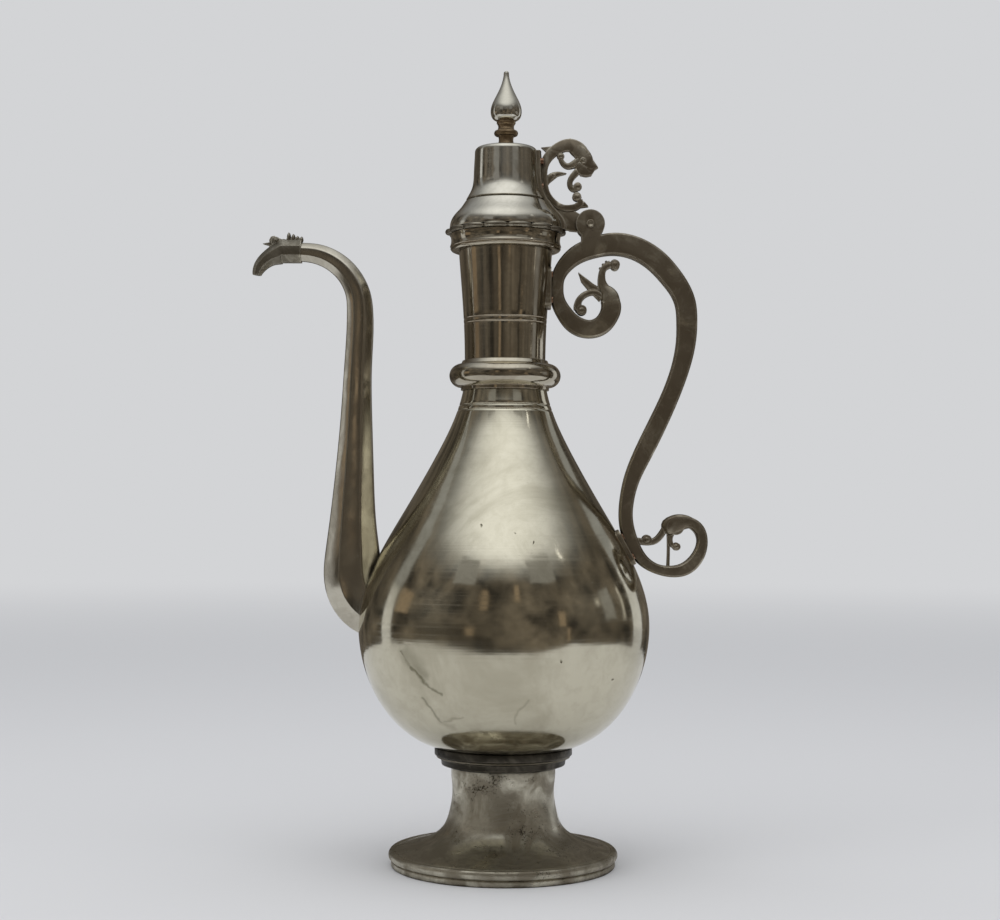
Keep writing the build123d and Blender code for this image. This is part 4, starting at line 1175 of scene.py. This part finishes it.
card_finish = stage_glow("dark cards")
card_tree = card_finish.node_tree
card_glow = card_tree.nodes["Emission"]
card_place = add_node(card_tree, "TexCoord").outputs["Object"]
card_noise = noise(card_tree, card_place, scale=5.0, detail=5.0, roughness=0.6)
card_ramp = add_node(card_tree, "ValToRGB", fac=card_noise)
card_tones = ((0.36, (0.03, 0.027, 0.023, 1)), (0.75, (0.24, 0.205, 0.165, 1)))
for stop, (position, tone) in zip(card_ramp.color_ramp.elements, card_tones):
    stop.position = position
    stop.color = tone
put(card_tree, card_glow.inputs["Color"], card_ramp.outputs["Color"])
card_height = add_node(card_tree, "SeparateXYZ", vector=card_place).outputs["Z"]
card_rise = arithmetic(card_tree, "SUBTRACT", card_height, eye_height)
card_reach = vector_math(card_tree, "LENGTH", vector_math(card_tree, "MULTIPLY", card_place, (1.0, 1.0, 0.0)))
card_slope = arithmetic(card_tree, "DIVIDE", card_rise, card_reach)
fade_out(card_tree, card_glow.outputs[0], between(card_tree, card_slope, ring_fade, ring_high))
for i, (start, end) in enumerate(((-94, 117), (133, 180), (-180, -106))):
    standing_card(f"card_{i}", start, end, ring_low, ring_high, card_finish)

ceiling_finish = stage_glow("ceiling light", (0.95, 0.97, 1.0))
ceiling_tree = ceiling_finish.node_tree
ceiling_place = add_node(ceiling_tree, "TexCoord").outputs["Object"]
ceiling_reach = vector_math(ceiling_tree, "DISTANCE", ceiling_place, (0, -0.9, ceiling_height))
ceiling_fade = between(ceiling_tree, ceiling_reach, 0.2, 2.3)
ceiling_strength = arithmetic(
    ceiling_tree, "MULTIPLY_ADD", ceiling_fade, ceiling_dim - ceiling_bright, ceiling_bright
)
put(ceiling_tree, ceiling_tree.nodes["Emission"].inputs["Strength"], ceiling_strength)
ceiling_shape = bmesh.new()
bmesh.ops.create_circle(ceiling_shape, cap_ends=True, segments=64, radius=ceiling_radius)
bmesh.ops.translate(ceiling_shape, verts=ceiling_shape.verts, vec=(0, 0, ceiling_height))
mirrored_only("ceiling", ceiling_shape, ceiling_finish)

panel_finish = stage_glow("bright panels", (1.0, 0.96, 0.9), 0.6)
dim_finish = stage_glow("dim panels", (1.0, 0.78, 0.56), 0.3)
shade_finish = stage_glow("shaded panels", (0.84, 0.83, 0.82), 0.33)
bulb_finish = stage_glow("bare bulb", strength=1.6)
for name, start, end, low, high, finish in (
    ("front_panel", -18, -12, 0.24, 0.52, dim_finish),
    ("near_panel", 8, 12, 0.36, 0.6, dim_finish),
    ("left_window", -46, -25, 0.62, 1.03, shade_finish),
    ("right_window", 23, 47, 0.64, 1.05, shade_finish),
    ("low_panel", -27, -21, -0.16, -0.04, dim_finish),
    ("warm_panel", 40, 46, 0.0, 0.2, dim_finish),
    ("lower_warm_panel", 47, 49, -0.22, -0.02, dim_finish),
    ("side_panel", 76, 80, 0.22, 0.32, panel_finish),
    ("bulb_panel", 60, 63, 0.88, 1.05, bulb_finish),
    ("window_panel", 82, 94, 0.04, 0.36, shade_finish),
    ("slit_panel", 103, 106, 0.0, 0.3, panel_finish),
    ("left_panel", -92, -78, 0.12, 0.36, dim_finish),
):
    standing_card(name, start, end, low, high, finish, nearer=0.97)

world = bpy.data.worlds.new("studio")
scene.world = world
world.use_nodes = True
world_tree = world.node_tree
background = world_tree.nodes["Background"]
ray = add_node(world_tree, "LightPath").outputs
seen = arithmetic(world_tree, "MAXIMUM", ray["Is Camera Ray"], ray["Is Glossy Ray"])
seen = arithmetic(world_tree, "MAXIMUM", seen, ray["Is Transmission Ray"])
put(world_tree, background.inputs["Color"], (0.93, 0.94, 0.96))
room_light = arithmetic(world_tree, "MULTIPLY_ADD", seen, backdrop_strength - room_strength, room_strength)
put(world_tree, background.inputs["Strength"], room_light)


def soft_lamp(name, place, size, power, tint, mirrored=True):
    """A square soft lamp aimed at the middle of the ewer."""
    light = bpy.data.lights.new(name, "AREA")
    light.shape = "SQUARE"
    light.size = size
    light.energy = power
    light.color = tint
    lamp = bpy.data.objects.new(name, light)
    lamp.location = place
    lamp.rotation_euler = (Vector((0, 0, 0.25)) - Vector(place)).to_track_quat("-Z", "Y").to_euler()
    lamp.visible_glossy = mirrored
    scene.collection.objects.link(lamp)


soft_lamp("top_lamp", (0, -0.4, 1.75), 1.7, 11, (1.0, 0.985, 0.96), mirrored=False)
soft_lamp("left_lamp", (-1.5, -0.9, 0.8), 0.9, 4, (1.0, 0.99, 0.97))
soft_lamp("right_lamp", (1.6, -0.6, 0.7), 0.7, 2, (1.0, 0.97, 0.93))
